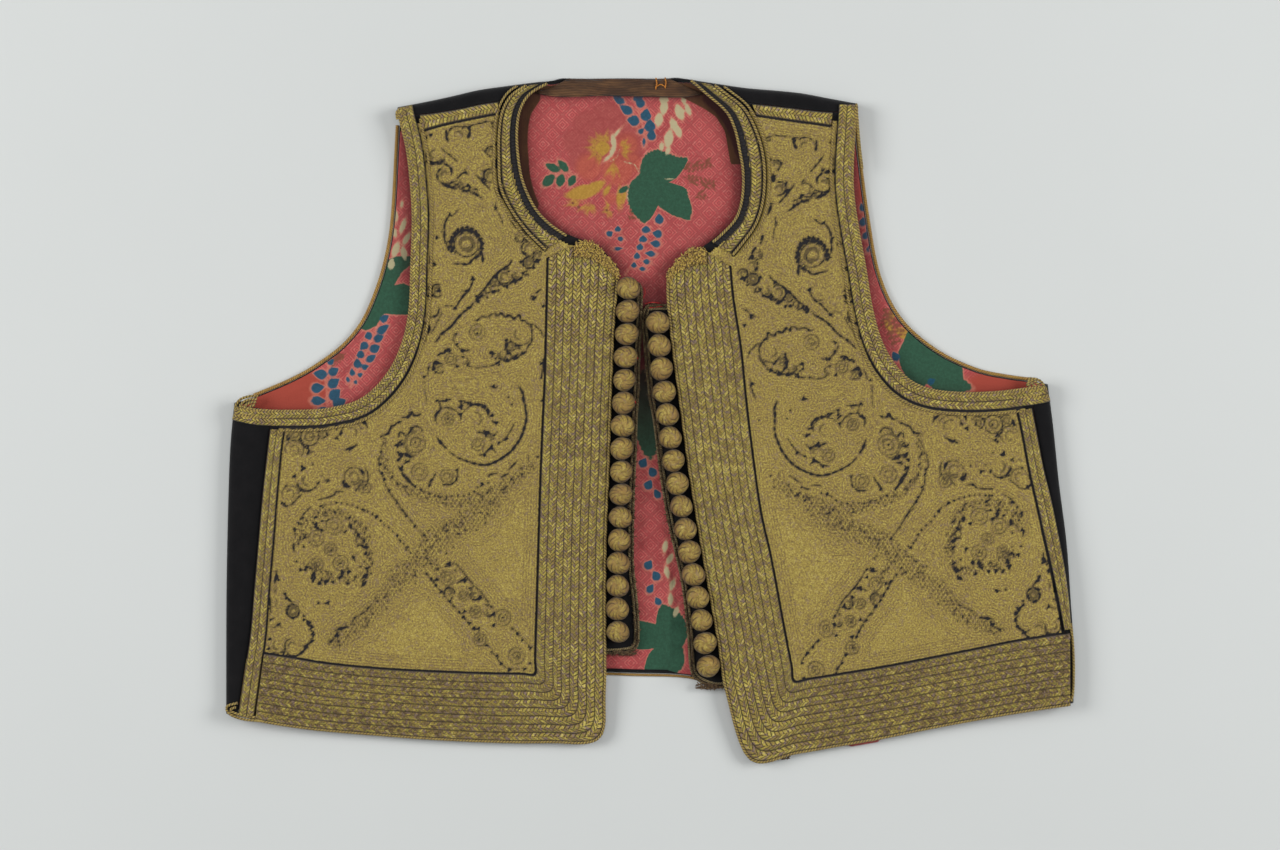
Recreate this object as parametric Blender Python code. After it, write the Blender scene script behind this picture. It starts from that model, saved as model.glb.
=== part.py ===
"""A folk vest of black wool with gold braid, laid on its back and closed flat.

Millimetres throughout. X runs across the vest, Y up to the shoulders, Z up off the table.
"""

import math

import bmesh
import bpy
import numpy as np
from mathutils import Vector
from mathutils.geometry import delaunay_2d_cdt

MM = 0.001

GAP = 0.3
WOOL = 1.5
LINING = 0.8
FRONT = 2.2
FACING = 0.6
STRIP = 1.0
FOLD_RADIUS = 4.5
FOLD_FACETS = 6
HALF_TURN = math.pi * FOLD_RADIUS
LINING_INSET = 2.0
PIPING = 1.6
BRAID_RISE = 1.6
BRAID_VALLEY = 0.9
BRAID_EDGE = 0.8
BRAID_SET_IN = 0.2
BRAID_ROUGHNESS = 0.6
BUTTONS_A_SIDE = 16
BUTTON_RADIUS = 5.9
BUTTON_HEIGHT = 11.5
BOSS_RISE = 0.8
SEAM_STEP = 11.0
FOLD_CLEARANCE = 0.4

# The heights of the lowest face of a front, as it lies
SEAM_HEIGHT = 2 * FOLD_RADIUS - FRONT - GAP - LINING
REST_HEIGHT = 3.15
STRIP_HEIGHT = WOOL + GAP + LINING + GAP + STRIP + GAP
WAVE = 0.5
SEAM_REACH = 62.0
STRIP_REACH = 26.0
STRIP_HOLD = 9.0
HEM_DROP = 2.2
HEM_REACH = 30.0
FRONT_STACK = LINING + GAP + FRONT

# The outline where the cloth turns over: x, y of the outermost points
LEFT_FOLD = [
    (-227.0, 22.0), (-228.4, 9.0), (-230.7, -16.0), (-231.9, -50.0), (-232.7, -90.0), (-232.9, -125.0),
    (-232.9, -170.0),
]
RIGHT_FOLD = [
    (216.8, 32.0), (218.3, 17.0), (221.0, -4.0), (224.3, -36.0), (228.4, -68.0), (230.8, -102.0),
    (232.9, -135.0), (231.2, -170.0),
]
# x, y of the outermost points of the shoulder folds
LEFT_SHOULDER_FOLD = [
    (-142.0, 170.5), (-124.6, 173.8), (-109.0, 177.1), (-94.0, 180.6), (-78.4, 182.8), (-63.0, 184.8),
    (-55.0, 185.4),
]
RIGHT_SHOULDER_FOLD = [
    (19.5, 186.6), (37.0, 183.9), (52.5, 181.6), (68.0, 180.3), (83.3, 178.7), (98.7, 175.8),
    (116.0, 172.6),
]
NECK_TURN = 14.0
NECK_FLAT = 188.5

# x, y along the edges of the back, in its flat pattern
BACK_NECK = [
    (-66.6, 196.4), (-60.0, 193.4), (-54.7, 188.8), (-47.0, 187.4), (-36.0, 187.0), (-15.0, 187.2),
    (4.0, 187.0), (12.0, 187.6), (19.0, 189.6), (25.0, 194.0), (31.5, 197.7),
]
LEFT_BACK_ARMHOLE = [
    (-139.6, 165.4), (-140.5, 147.0), (-142.7, 109.0), (-146.6, 86.4), (-152.1, 68.8), (-159.2, 53.4),
    (-169.7, 40.7), (-184.5, 29.7), (-197.2, 22.6), (-209.8, 17.1), (-222.0, 12.2),
]
RIGHT_BACK_ARMHOLE = [
    (113.2, 167.0), (115.8, 142.5), (120.2, 110.0), (126.2, 79.2), (137.8, 55.6), (157.0, 38.5),
    (178.5, 28.1), (196.0, 24.2), (213.0, 22.0),
]
BACK_HEM = [
    (224.0, -156.6), (190.0, -155.2), (120.0, -151.5), (60.0, -148.6), (37.0, -146.8), (27.0, -144.0),
    (15.0, -142.0), (-9.0, -141.4), (-28.0, -141.0), (-60.0, -143.5), (-120.0, -150.5),
    (-180.0, -157.5),
    (-224.0, -161.2),
]
# x, y along the lower edge of the facing inside the back neck
FACING_EDGE = [(-63.5, 179.0), (-50.0, 177.0), (-25.0, 177.4), (0.0, 177.0), (18.0, 176.6), (29.0, 178.6)]

LEFT = {
    "name": "left",
    "toward_side": -1,
    # x, y along each edge of the front
    "shoulder": [
        (-137.8, 165.6), (-117.4, 167.9), (-104.8, 170.1), (-92.1, 172.8), (-79.5, 174.6),
        (-66.6, 177.0),
    ],
    "neckline": [
        (-66.6, 177.0), (-71.2, 169.4), (-72.9, 158.4), (-72.3, 144.7), (-69.6, 130.4), (-63.5, 116.6),
        (-55.8, 107.8), (-45.4, 101.2), (-36.6, 97.9), (-26.7, 93.0), (-17.3, 82.2),
    ],
    "centre": [
        (-17.3, 82.2), (-20.1, 56.7), (-21.5, 25.3), (-22.4, 0.0), (-23.5, -36.0), (-25.0, -72.0),
        (-25.2, -105.0), (-25.0, -140.0), (-26.5, -169.0),
    ],
    "hem": [
        (-29.5, -175.6), (-34.0, -177.0), (-78.4, -177.3), (-109.2, -176.0), (-140.0, -173.9),
        (-170.8, -171.5),
        (-201.6, -167.6), (-226.2, -162.8),
    ],
    "side": [
        (-226.2, -162.8), (-222.5, -139.2), (-219.2, -117.7), (-217.0, -92.4), (-214.8, -67.1),
        (-212.6, -41.8),
        (-209.8, -16.5), (-207.5, 4.6),
    ],
    "armhole": [
        (-207.5, 4.6), (-191.0, 4.6), (-176.8, 5.6), (-159.2, 10.5), (-145.5, 23.1), (-136.7, 39.6),
        (-132.3, 58.9), (-131.2, 83.6), (-130.4, 108.9), (-131.2, 126.5), (-133.4, 146.9),
        (-137.8, 165.6),
    ],
    # x, y of the armhole's edge where it goes on over the folds
    "armhole_on_side": [(-207.5, 4.6), (-216.0, 5.2), (-223.8, 6.8), (-225.4, 7.2), (-227.0, 7.7)],
    "armhole_on_shoulder": [(-138.7, 170.3), (-138.4, 169.0), (-138.1, 167.2), (-137.8, 165.6)],
    "armhole_width": 8.6,
    # neck_x, neck_y, field_x, field_y across the neck braids
    "neck_braid": [
        (-56.0, 183.8, -68.5, 182.6), (-65.7, 177.9, -76.6, 177.0), (-70.8, 169.4, -81.4, 168.4),
        (-72.6, 158.4, -83.2, 157.0), (-72.0, 144.7, -83.4, 143.0), (-69.3, 130.4, -82.6, 127.5),
        (-63.2, 116.8, -76.6, 114.4), (-55.6, 108.0, -68.0, 102.8), (-45.4, 100.9, -57.8, 92.4),
    ],
    # seam_x, seam_y, field_x, field_y across the shoulder braid
    "shoulder_braid": [
        (-126.4, 166.7, -124.6, 158.0), (-117.4, 167.7, -114.9, 160.9), (-104.8, 169.8, -101.6, 163.9),
        (-92.1, 172.5, -90.0, 166.2), (-83.4, 173.7, -83.6, 167.4),
    ],
    # seam_x, seam_y, field_x, field_y across the side braid
    "side_braid": [
        (-208.4, -5.6, -200.6, -5.9), (-209.8, -17.0, -202.3, -17.0), (-212.6, -42.0, -204.6, -42.0),
        (-214.8, -67.0, -206.6, -67.0), (-217.0, -92.0, -208.8, -92.0),
        (-219.2, -118.0, -210.8, -118.0),
        (-222.4, -139.0, -213.6, -138.0), (-225.8, -162.2, -217.2, -163.6),
    ],
    # edge_x, edge_y, field_x, field_y across the border, row by row down the front and along the hem
    "border": [
        (-17.8, 81.6, -56.0, 87.8), (-18.7, 70.0, -56.3, 70.0), (-20.3, 52.0, -56.8, 50.0),
        (-21.5, 25.0, -57.4, 25.0),
        (-22.4, 0.0, -58.5, 0.0), (-23.3, -30.0, -59.7, -29.0), (-24.6, -60.0, -60.7, -60.0),
        (-25.1, -92.0, -61.6, -92.0), (-25.0, -125.0, -62.4, -118.0), (-25.3, -150.0, -62.8, -131.0),
        (-28.6, -175.2, -63.0, -140.2), (-56.0, -177.2, -72.0, -140.1), (-86.0, -177.0, -92.0, -139.8),
        (-120.0, -175.4, -122.0, -138.7), (-150.0, -173.1, -150.0, -137.1),
        (-180.0, -170.5, -178.0, -134.3),
        (-202.0, -167.5, -197.0, -131.0), (-216.4, -164.9, -211.6, -128.8),
    ],
    "border_peak": 9.5,
    # x, y along the edge of the button strip that shows
    "strip": [
        (-24.0, 75.0), (-10.0, 75.0), (-5.2, 73.0), (-4.9, 62.0), (-6.1, 32.0), (-6.4, 18.0),
        (-7.4, 2.0),
        (-8.2, -22.0), (-9.2, -45.0), (-9.6, -78.0), (-7.4, -100.0), (-6.4, -117.0), (-8.0, -126.0),
        (-16.0, -128.4), (-30.0, -128.8),
    ],
    "strip_under": [(-33.0, -128.6), (-32.5, -60.0), (-31.0, 10.0), (-28.0, 74.8)],
    # x, y along the row of buttons
    "buttons": [
        (-12.2, 71.6), (-12.9, 48.0), (-14.2, 24.0), (-15.1, 0.0), (-16.0, -27.0), (-16.4, -51.0),
        (-17.6, -78.0), (-18.2, -104.0), (-17.8, -116.6),
    ],
    # x, y and radius of the largest raised rounds of the couched gold
    "bosses": [
        (-108.0, 148.0, 12.0), (-102.0, 95.7, 10.0), (-113.0, 43.0, 14.0), (-93.5, -8.0, 11.0),
        (-122.0, -22.0, 9.0), (-173.0, -69.0, 19.0), (-78.0, -128.0, 8.0), (-183.0, -20.0, 12.0),
    ],
    "lining_shows": None,
}

RIGHT = {
    "name": "right",
    "toward_side": 1,
    "shoulder": [
        (112.4, 166.6), (104.2, 167.8), (93.2, 168.6), (81.1, 170.0), (65.2, 171.8), (50.0, 173.8),
        (31.5, 176.8),
    ],
    "neckline": [
        (31.5, 176.8), (41.0, 168.3), (45.9, 158.4), (48.5, 146.0), (50.3, 134.8), (49.8, 121.0),
        (46.5, 110.0),
        (38.8, 102.3), (29.7, 95.2), (20.0, 89.2), (9.1, 80.6),
    ],
    "centre": [
        (9.1, 80.6), (9.4, 64.4), (12.2, 38.0), (17.3, 0.0), (22.8, -38.0), (29.5, -79.0),
        (36.6, -119.0),
        (39.8, -142.0), (45.5, -165.0), (52.4, -183.8),
    ],
    "hem": [
        (56.0, -186.9), (61.0, -186.6), (91.0, -181.3), (121.8, -176.4), (152.6, -169.8),
        (183.4, -163.9),
        (214.2, -158.4), (227.0, -156.2),
    ],
    "side": [
        (227.0, -156.2), (227.6, -130.0), (226.0, -104.0), (224.4, -80.0), (221.8, -60.5),
        (218.9, -44.0),
        (215.3, -26.4), (211.5, -6.1), (207.8, 17.0),
    ],
    "armhole": [
        (207.8, 17.0), (190.6, 14.9), (172.4, 14.3), (154.8, 16.0), (142.7, 20.9), (133.4, 30.3),
        (126.2, 43.5),
        (121.3, 61.1), (118.0, 81.4), (114.1, 102.9), (111.3, 122.0), (110.8, 138.6), (112.4, 166.6),
    ],
    "armhole_on_side": [(207.8, 17.0), (212.2, 17.7), (213.9, 18.1), (215.2, 18.4), (216.4, 18.8)],
    "armhole_on_shoulder": [
        (112.6, 172.1), (112.6, 171.0), (112.6, 169.8), (112.5, 168.4), (112.4, 166.6),
    ],
    "armhole_width": 9.6,
    "neck_braid": [
        (21.5, 185.6, 35.6, 182.6), (30.0, 178.0, 42.6, 177.4), (40.8, 168.3, 51.4, 170.2),
        (45.6, 158.4, 57.4, 159.6), (48.2, 146.2, 61.4, 147.6), (50.0, 134.8, 62.9, 134.0),
        (49.5, 121.2, 61.8, 118.6), (46.2, 110.3, 57.8, 106.4), (38.8, 102.0, 50.8, 96.4),
        (33.4, 97.4, 45.4, 89.6),
    ],
    "shoulder_braid": [
        (99.8, 168.0, 98.6, 160.6), (92.0, 168.5, 90.8, 161.8), (81.0, 169.8, 80.0, 163.2),
        (65.2, 171.6, 66.0, 165.2), (55.6, 172.6, 58.2, 166.4),
    ],
    "side_braid": [
        (209.0, 5.9, 201.2, 4.2), (211.4, -6.0, 203.8, -7.8), (215.3, -26.4, 207.6, -28.0),
        (219.6, -44.0, 211.6, -45.6), (223.0, -60.5, 215.2, -62.0), (226.7, -80.0, 219.6, -81.0),
        (229.4, -99.0, 223.6, -100.0), (230.6, -115.0, 226.6, -115.6),
    ],
    "border": [
        (9.5, 79.9, 43.3, 83.2), (9.7, 64.0, 44.9, 66.0), (12.5, 38.0, 48.9, 40.0),
        (15.4, 16.0, 51.3, 17.0),
        (17.6, 0.0, 53.1, 0.0), (21.2, -27.0, 56.8, -29.0), (24.9, -50.0, 60.2, -52.0),
        (28.9, -74.0, 65.4, -75.0),
        (33.5, -100.0, 70.1, -100.0), (37.6, -124.0, 74.0, -121.0), (41.8, -150.0, 76.8, -135.0),
        (54.6, -186.4, 78.4, -144.1), (80.0, -183.2, 88.0, -142.8), (104.0, -179.0, 106.0, -140.0),
        (130.0, -174.4, 130.0, -136.0), (155.0, -169.2, 154.0, -131.4), (180.0, -164.5, 177.0, -126.8),
        (205.0, -160.1, 201.0, -121.9), (229.8, -156.4, 229.6, -117.4),
    ],
    "border_peak": 9.0,
    "strip": [
        (16.0, 62.4), (0.0, 62.4), (-3.2, 60.6), (-4.3, 52.0), (-3.4, 40.0), (-0.8, 13.2), (1.9, -2.2),
        (5.8, -33.0),
        (10.7, -60.5), (17.0, -88.6), (20.4, -116.0), (21.8, -136.0), (25.4, -143.0), (34.0, -147.0),
        (44.0, -147.0),
    ],
    "strip_under": [(47.0, -146.6), (42.0, -110.0), (33.0, -50.0), (25.0, 10.0), (19.0, 62.0)],
    "buttons": [
        (4.0, 52.8), (5.8, 28.6), (9.0, 3.9), (12.0, -19.8), (16.4, -45.1), (21.2, -72.6),
        (25.7, -97.4), (29.6, -121.0), (31.6, -135.3),
    ],
    "bosses": [
        (78.0, 146.0, 12.0), (86.0, 92.0, 10.0), (103.0, 44.0, 14.0), (97.0, -8.0, 11.0),
        (121.0, -20.0, 9.0),
        (178.0, -62.0, 18.0), (98.0, -124.0, 8.0), (176.0, -12.0, 12.0),
    ],
    # x where the lining comes out below the hem, from and to
    "lining_shows": (106.0, 127.0),
}

# kind of braid, plaits side by side, rows worked from each row of its table, share of the border's peak
BRAIDS = (
    ("border", 8, 1, 1.0),
    ("neck_braid", 2, 3, 0.0),
    ("shoulder_braid", 1, 2, 0.0),
    ("side_braid", 3, 1, 0.0),
    ("armhole_braid", 2, 1, 0.0),
)
# Where the front's outer face has lines under its border: share across, rise
FRONT_SHARES = ((0.0, 0.0), (0.25, 0.0), (0.5, 0.0), (0.75, 0.0), (1.0, 0.0))

WOOL_BLACK = (0.013, 0.012, 0.014)
LINING_RED = (0.45, 0.10, 0.11)
FACING_BROWN = (0.065, 0.032, 0.020)
GOLD_GROUND = (0.26, 0.19, 0.065)
GOLD_BRAID = (0.23, 0.155, 0.05)
BUTTON_GOLD = (0.33, 0.22, 0.05)
PIPING_ORANGE = (0.42, 0.20, 0.05)


def clear_scene():
    for obj in list(bpy.data.objects):
        bpy.data.objects.remove(obj, do_unlink=True)


def material(name, colour, roughness):
    made = bpy.data.materials.new(name)
    made.use_nodes = True
    shader = made.node_tree.nodes["Principled BSDF"]
    shader.inputs["Base Color"].default_value = (*colour, 1.0)
    shader.inputs["Roughness"].default_value = roughness
    shader.inputs["Metallic"].default_value = 0.0
    return made


def mesh_object(name, points, faces, colour, roughness):
    """One closed body, in metres, with its faces turned outward."""
    mesh = bpy.data.meshes.new(name)
    mesh.from_pydata([tuple(c * MM for c in p) for p in points], [], faces)
    work = bmesh.new()
    work.from_mesh(mesh)
    bmesh.ops.recalc_face_normals(work, faces=work.faces)
    if work.calc_volume(signed=True) < 0:
        bmesh.ops.reverse_faces(work, faces=work.faces)
    work.to_mesh(mesh)
    work.free()
    mesh.materials.append(material(name, colour, roughness))
    obj = bpy.data.objects.new(name, mesh)
    bpy.context.scene.collection.objects.link(obj)
    return obj


def spline(rows, per_row):
    """Points of a soft curve through every row, per_row of them to each span."""
    rows = np.array(rows, float)
    padded = np.vstack([2 * rows[0] - rows[1], rows, 2 * rows[-1] - rows[-2]])
    found = []
    for i in range(1, len(padded) - 2):
        before, start, end, after = padded[i - 1:i + 3]
        for k in range(per_row):
            t = k / per_row
            found.append(0.5 * (2 * start + (end - before) * t
                                + (2 * before - 5 * start + 4 * end - after) * t ** 2
                                + (3 * start - before - 3 * end + after) * t ** 3))
    found.append(rows[-1])
    return np.array(found)


def evenly(points, step=None, count=None):
    """The same curve with its points at even steps along it."""
    points = np.array(points, float)
    along = np.concatenate([[0], np.cumsum(np.linalg.norm(np.diff(points, axis=0), axis=1))])
    spans = count - 1 if count else max(1, round(along[-1] / step))
    wanted = np.linspace(0, along[-1], spans + 1)
    return np.column_stack([np.interp(wanted, along, points[:, k]) for k in range(points.shape[1])])


def curve(rows, step):
    return evenly(spline(rows, 10), step)


def beside(path, distance):
    """A curve moved to its own left by a distance."""
    along = np.gradient(path, axis=0)
    left = np.column_stack([-along[:, 1], along[:, 0]])
    return path + left / np.linalg.norm(left, axis=1)[:, None] * distance


def smooth_step(t):
    t = min(max(t, 0.0), 1.0)
    return t * t * (3 - 2 * t)


class Lookup:
    """A table read once into a soft curve, then asked for one column from the other."""

    def __init__(self, rows, key):
        dense = spline(rows, 8)
        order = np.argsort(dense[:, key])
        self.keys = dense[order, key]
        self.values = dense[order, 1 - key]

    def __call__(self, at):
        return float(np.interp(at, self.keys, self.values))


left_fold_x = Lookup(LEFT_FOLD, 1)
right_fold_x = Lookup(RIGHT_FOLD, 1)
left_shoulder_y = Lookup(LEFT_SHOULDER_FOLD, 0)
right_shoulder_y = Lookup(RIGHT_SHOULDER_FOLD, 0)
back_hem_y = Lookup(BACK_HEM, 0)
for SIDE in (LEFT, RIGHT):
    SIDE["side_x"] = Lookup(SIDE["side"], 1)
    SIDE["shoulder_y"] = Lookup(SIDE["shoulder"], 0)
    SIDE["centre_x"] = Lookup(SIDE["centre"], 1)


def side_turn(toward_side, y):
    """x where the cloth starts to turn over at the side."""
    return left_fold_x(y) + FOLD_RADIUS if toward_side < 0 else right_fold_x(y) - FOLD_RADIUS


def shoulder_turn(x):
    """y where the cloth starts to turn over at a shoulder. Across the neck it lies flat."""
    left_end, right_start = LEFT_SHOULDER_FOLD[-1][0], RIGHT_SHOULDER_FOLD[0][0]
    if x <= left_end:
        return left_shoulder_y(x) - FOLD_RADIUS
    if x >= right_start:
        return right_shoulder_y(x) - FOLD_RADIUS
    if x < (left_end + right_start) / 2:
        edge, reach = left_shoulder_y(left_end) - FOLD_RADIUS, x - left_end
    else:
        edge, reach = right_shoulder_y(right_start) - FOLD_RADIUS, right_start - x
    return edge + (NECK_FLAT - edge) * smooth_step(reach / NECK_TURN)


def rolled(beyond, depth):
    """Where a point lies that is this far past the start of a fold: how far out, and how high."""
    radius = FOLD_RADIUS - depth
    turn = min(beyond / FOLD_RADIUS, math.pi)
    past = max(beyond - HALF_TURN, 0.0)
    return radius * math.sin(turn) - past, FOLD_RADIUS - radius * math.cos(turn)


def laid(x, y, depth):
    """A point of the back's flat pattern, this deep below its outer face, where it lies once folded."""
    for toward_side in (-1, 1):
        turn_x = side_turn(toward_side, y)
        beyond = (x - turn_x) * toward_side
        if beyond > 0 and y < 60.0:
            out, height = rolled(beyond, depth)
            return turn_x + toward_side * out, y, height
    turn_y = shoulder_turn(x)
    if y > turn_y:
        out, height = rolled(y - turn_y, depth)
        return x, turn_y + out, height
    return x, y, depth


def unfolded(distance_in):
    """How far past the start of a fold a point lies in the pattern, from how far back in it lies on top."""
    if distance_in >= 0:
        return HALF_TURN + distance_in
    return HALF_TURN - FOLD_RADIUS * math.asin(min(-distance_in / FOLD_RADIUS, 1.0))


def side_flap_point(side, x, y):
    turn_x = side_turn(side["toward_side"], y)
    return turn_x + side["toward_side"] * unfolded((turn_x - x) * side["toward_side"]), y


def shoulder_flap_point(x, y):
    turn_y = shoulder_turn(x)
    return x, turn_y + unfolded(turn_y - y)


def front_underside(side, x, y):
    """Height of the lowest face of a front over a point of the plan."""
    from_side = (side["side_x"](y) - x) * side["toward_side"]
    from_shoulder = side["shoulder_y"](x) - y
    away = smooth_step(from_side / SEAM_REACH) * smooth_step(from_shoulder / SEAM_REACH)
    wave = 0.5 + 0.25 * math.sin(x / 17.0 + y / 41.0) + 0.25 * math.sin(y / 23.0 - x / 57.0)
    height = SEAM_HEIGHT + (REST_HEIGHT + WAVE * wave - SEAM_HEIGHT) * away
    from_centre = (x - side["centre_x"](y)) * side["toward_side"]
    over_strip = 1 - smooth_step((from_centre - STRIP_HOLD) / STRIP_REACH)
    height += max(STRIP_HEIGHT - height, 0) * over_strip
    past_hem = back_hem_y(x) - y
    return height - HEM_DROP * away * smooth_step((past_hem - 1.0) / HEM_REACH)


def cloth_top(side, x, y):
    """Height of the vest's outer face over a point of the plan, on a front or where a fold falls away."""
    toward_side = side["toward_side"]
    past_side = (x - side_turn(toward_side, y)) * toward_side if y < 60.0 else 0.0
    past = max(past_side, y - shoulder_turn(x), 0.0)
    if past > 0:
        rise = math.sqrt(max(FOLD_RADIUS ** 2 - past ** 2, 0.0))
        return FOLD_RADIUS + rise + min(past, 1.0) * FOLD_CLEARANCE
    return front_underside(side, x, y) + FRONT_STACK


def joined(*curves):
    """Curves laid end to end as one closed outline, without doubled points."""
    found = []
    for points in curves:
        for point in points:
            if not found or math.dist(point, found[-1]) > 2.0:
                found.append(tuple(map(float, point)))
    while math.dist(found[0], found[-1]) < 0.6:
        found.pop()
    return found


def is_inside(outline, x, y):
    found = False
    for (ax, ay), (bx, by) in zip(outline, outline[1:] + outline[:1]):
        if (ay > y) != (by > y) and x < ax + (bx - ax) * (y - ay) / (by - ay):
            found = not found
    return found


def off_segment(point, start, end):
    """Distance from a point to a line between two others."""
    way = end - start
    share = min(max(np.dot(point - start, way) / np.dot(way, way), 0.0), 1.0)
    return float(np.linalg.norm(point - start - way * share))


def inset(outline, distance):
    """An outline moved inward along each point's own normal; distance may be a function of the point."""
    points = np.array(outline)
    turned = 0.5 * np.sum(points[:, 0] * np.roll(points[:, 1], -1) - np.roll(points[:, 0], -1) * points[:, 1])
    along = np.roll(points, -1, axis=0) - np.roll(points, 1, axis=0)
    normal = np.column_stack([-along[:, 1], along[:, 0]]) * math.copysign(1, turned)
    normal /= np.linalg.norm(normal, axis=1)[:, None]
    found = []
    for point, out in zip(points, normal):
        amount = distance(*point) if callable(distance) else distance
        moved = point + out * amount
        after = np.roll(points, -1, axis=0)
        nearest = min(off_segment(moved, a, b) for a, b in zip(points, after))
        if nearest > abs(amount) * 0.62:
            found.append(tuple(moved))
    return found


def scatter(outline, spacing, keep_off):
    """Evenly staggered points inside an outline, off its edge and off the lines given."""
    lows, highs = np.min(outline, axis=0), np.max(outline, axis=0)
    lines = np.vstack([np.array(outline), *[np.array(line) for line in keep_off]])
    found = []
    rows = int((highs[1] - lows[1]) / (spacing * 0.866))
    for row in range(rows + 1):
        y = lows[1] + row * spacing * 0.866
        for x in np.arange(lows[0] + (row % 2) * spacing / 2, highs[0], spacing):
            near = np.min(np.hypot(lines[:, 0] - x, lines[:, 1] - y))
            if near > spacing * 0.55 and is_inside(outline, x, y):
                found.append((x, y))
    return found


def skin(outline, lines, loose):
    """Triangles that fill an outline and keep its edges and the lines given."""
    points = list(outline)
    edges = [(i, (i + 1) % len(outline)) for i in range(len(outline))]
    for line in lines:
        start = len(points)
        points += [tuple(p) for p in line]
        edges += [(i, i + 1) for i in range(start, len(points) - 1)]
    points += loose
    spots, _, faces = delaunay_2d_cdt([Vector(p) for p in points], edges, [], 0, 1e-3)[:3]
    kept = []
    for face in faces:
        x, y = (sum(spots[i][k] for i in face) / 3 for k in (0, 1))
        if is_inside(outline, x, y):
            kept.append(face)
    return [tuple(p) for p in spots], kept


def rim_edges(faces):
    """The edges that only one face uses, each in that face's direction."""
    used = {}
    for face in faces:
        for a, b in zip(face, face[1:] + face[:1]):
            used[frozenset((a, b))] = None if frozenset((a, b)) in used else (a, b)
    return [edge for edge in used.values() if edge]


def wall(name, outline, outer, inner, colour, roughness, lines=(), spacing=24.0, relief=(),
         fine=None):
    """A sheet of cloth: an outer and an inner skin over one outline, closed by a rim.

    outer and inner give the place in space of a point of the outline's plane.
    relief holds lines of points that shape the outer skin only, and fine is that skin's own spacing.
    """
    outer_lines = list(lines) + list(relief)
    outer_spots, outer_faces = skin(outline, outer_lines, scatter(outline, fine or spacing, outer_lines))
    inner_spots, inner_faces = skin(outline, list(lines), scatter(outline, spacing, lines))
    points = [outer(x, y) for x, y in outer_spots]
    shift = len(points)
    points += [inner(x, y) for x, y in inner_spots]
    at = {(round(x, 2), round(y, 2)): i + shift for i, (x, y) in enumerate(inner_spots)}
    faces = [list(face) for face in outer_faces]
    faces += [[i + shift for i in reversed(face)] for face in inner_faces]
    for a, b in rim_edges(outer_faces):
        below_a, below_b = (at[tuple(round(c, 2) for c in outer_spots[i])] for i in (a, b))
        faces.append([b, a, below_a, below_b])
    used = sorted({i for face in faces for i in face})
    order = {old: new for new, old in enumerate(used)}
    faces = [[order[i] for i in face] for face in faces]
    return mesh_object(name, [points[i] for i in used], faces, colour, roughness)


def across(rows, profile, per_row=1, peak=0.0):
    """Points at the profile's shares across a band, row by row. peak bows its first rows outward."""
    stations = spline(rows, per_row) if per_row > 1 else rows
    grid = []
    for i, (ax, ay, bx, by) in enumerate(stations):
        bow = peak * max(1 - i / 2, 0)
        grid.append([(ax + (bx - ax) * t, ay + (by - ay) * t + bow * 4 * t * (1 - t)) for t, _ in profile])
    return grid


def band(name, side, grid, profile):
    """Braid laid along the cloth: rows of points across it, with a rib for each plait in its outer face."""
    top, under = [], []
    for row in grid:
        for (x, y), (_, rise) in zip(row, profile):
            height = cloth_top(side, x, y) + GAP
            top.append((x, y, height + rise))
            under.append((x, y, height))
    count, along = len(profile), len(grid)
    shift = len(top)
    faces = []
    for i in range(along - 1):
        for j in range(count - 1):
            a = i * count + j
            faces.append([a, a + 1, a + count + 1, a + count])
            faces.append([shift + a + count, shift + a + count + 1, shift + a + 1, shift + a])
    ring = list(range(count))
    ring += [i * count + count - 1 for i in range(1, along)]
    ring += [(along - 1) * count + j for j in range(count - 2, -1, -1)]
    ring += [i * count for i in range(along - 2, 0, -1)]
    for a, b in zip(ring, ring[1:] + ring[:1]):
        faces.append([b, a, shift + a, shift + b])
    return mesh_object(name, top + under, faces, GOLD_BRAID, BRAID_ROUGHNESS)


def ribs(count):
    """Share across a band and height of its face: a crest to each plait, a valley between."""
    found = [(0.0, BRAID_EDGE)]
    for k in range(count):
        found.append(((k + 0.5) / count, BRAID_RISE))
        found.append(((k + 1.0) / count, BRAID_VALLEY if k < count - 1 else BRAID_EDGE))
    return found


def tube(name, centres, radius, sides, colour):
    """A round cord along a path, lying on the table."""
    path = np.column_stack([centres, np.full(len(centres), radius)])
    along = np.gradient(path, axis=0)
    points = []
    for centre, way in zip(path, along):
        out = Vector((way[1], -way[0], 0)).normalized()
        for k in range(sides):
            turn = 2 * math.pi * k / sides
            offset = out * (radius * math.cos(turn)) + Vector((0, 0, radius * math.sin(turn)))
            points.append(tuple(Vector(centre) + offset))
    faces = []
    for i in range(len(path) - 1):
        for k in range(sides):
            a, b = i * sides + k, i * sides + (k + 1) % sides
            faces.append([a, b, b + sides, a + sides])
    last = (len(path) - 1) * sides
    faces += [list(range(sides))[::-1], [last + k for k in range(sides)]]
    return mesh_object(name, points, faces, colour, 0.6)


def fold_lines():
    """Lines of the back's pattern along which its folds bend."""
    found = []
    for facet in range(FOLD_FACETS + 1):
        beyond = HALF_TURN * facet / FOLD_FACETS
        for toward_side, low, high in ((-1, -172.0, 24.0), (1, -172.0, 34.0)):
            places = np.linspace(low, high, 11)
            found.append([(side_turn(toward_side, y) + toward_side * beyond, y) for y in places])
        for first, last in ((-146.0, -53.0), (18.0, 118.0)):
            found.append([(x, shoulder_turn(x) + beyond) for x in np.linspace(first, last, 9)])
    for first, last in ((-52.0, -38.0), (3.0, 17.0)):
        for beyond in (0.0, 1.6, 3.1, 4.7, 6.3):
            found.append([(x, shoulder_turn(x) + beyond) for x in np.linspace(first, last, 5)])
    return found


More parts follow.
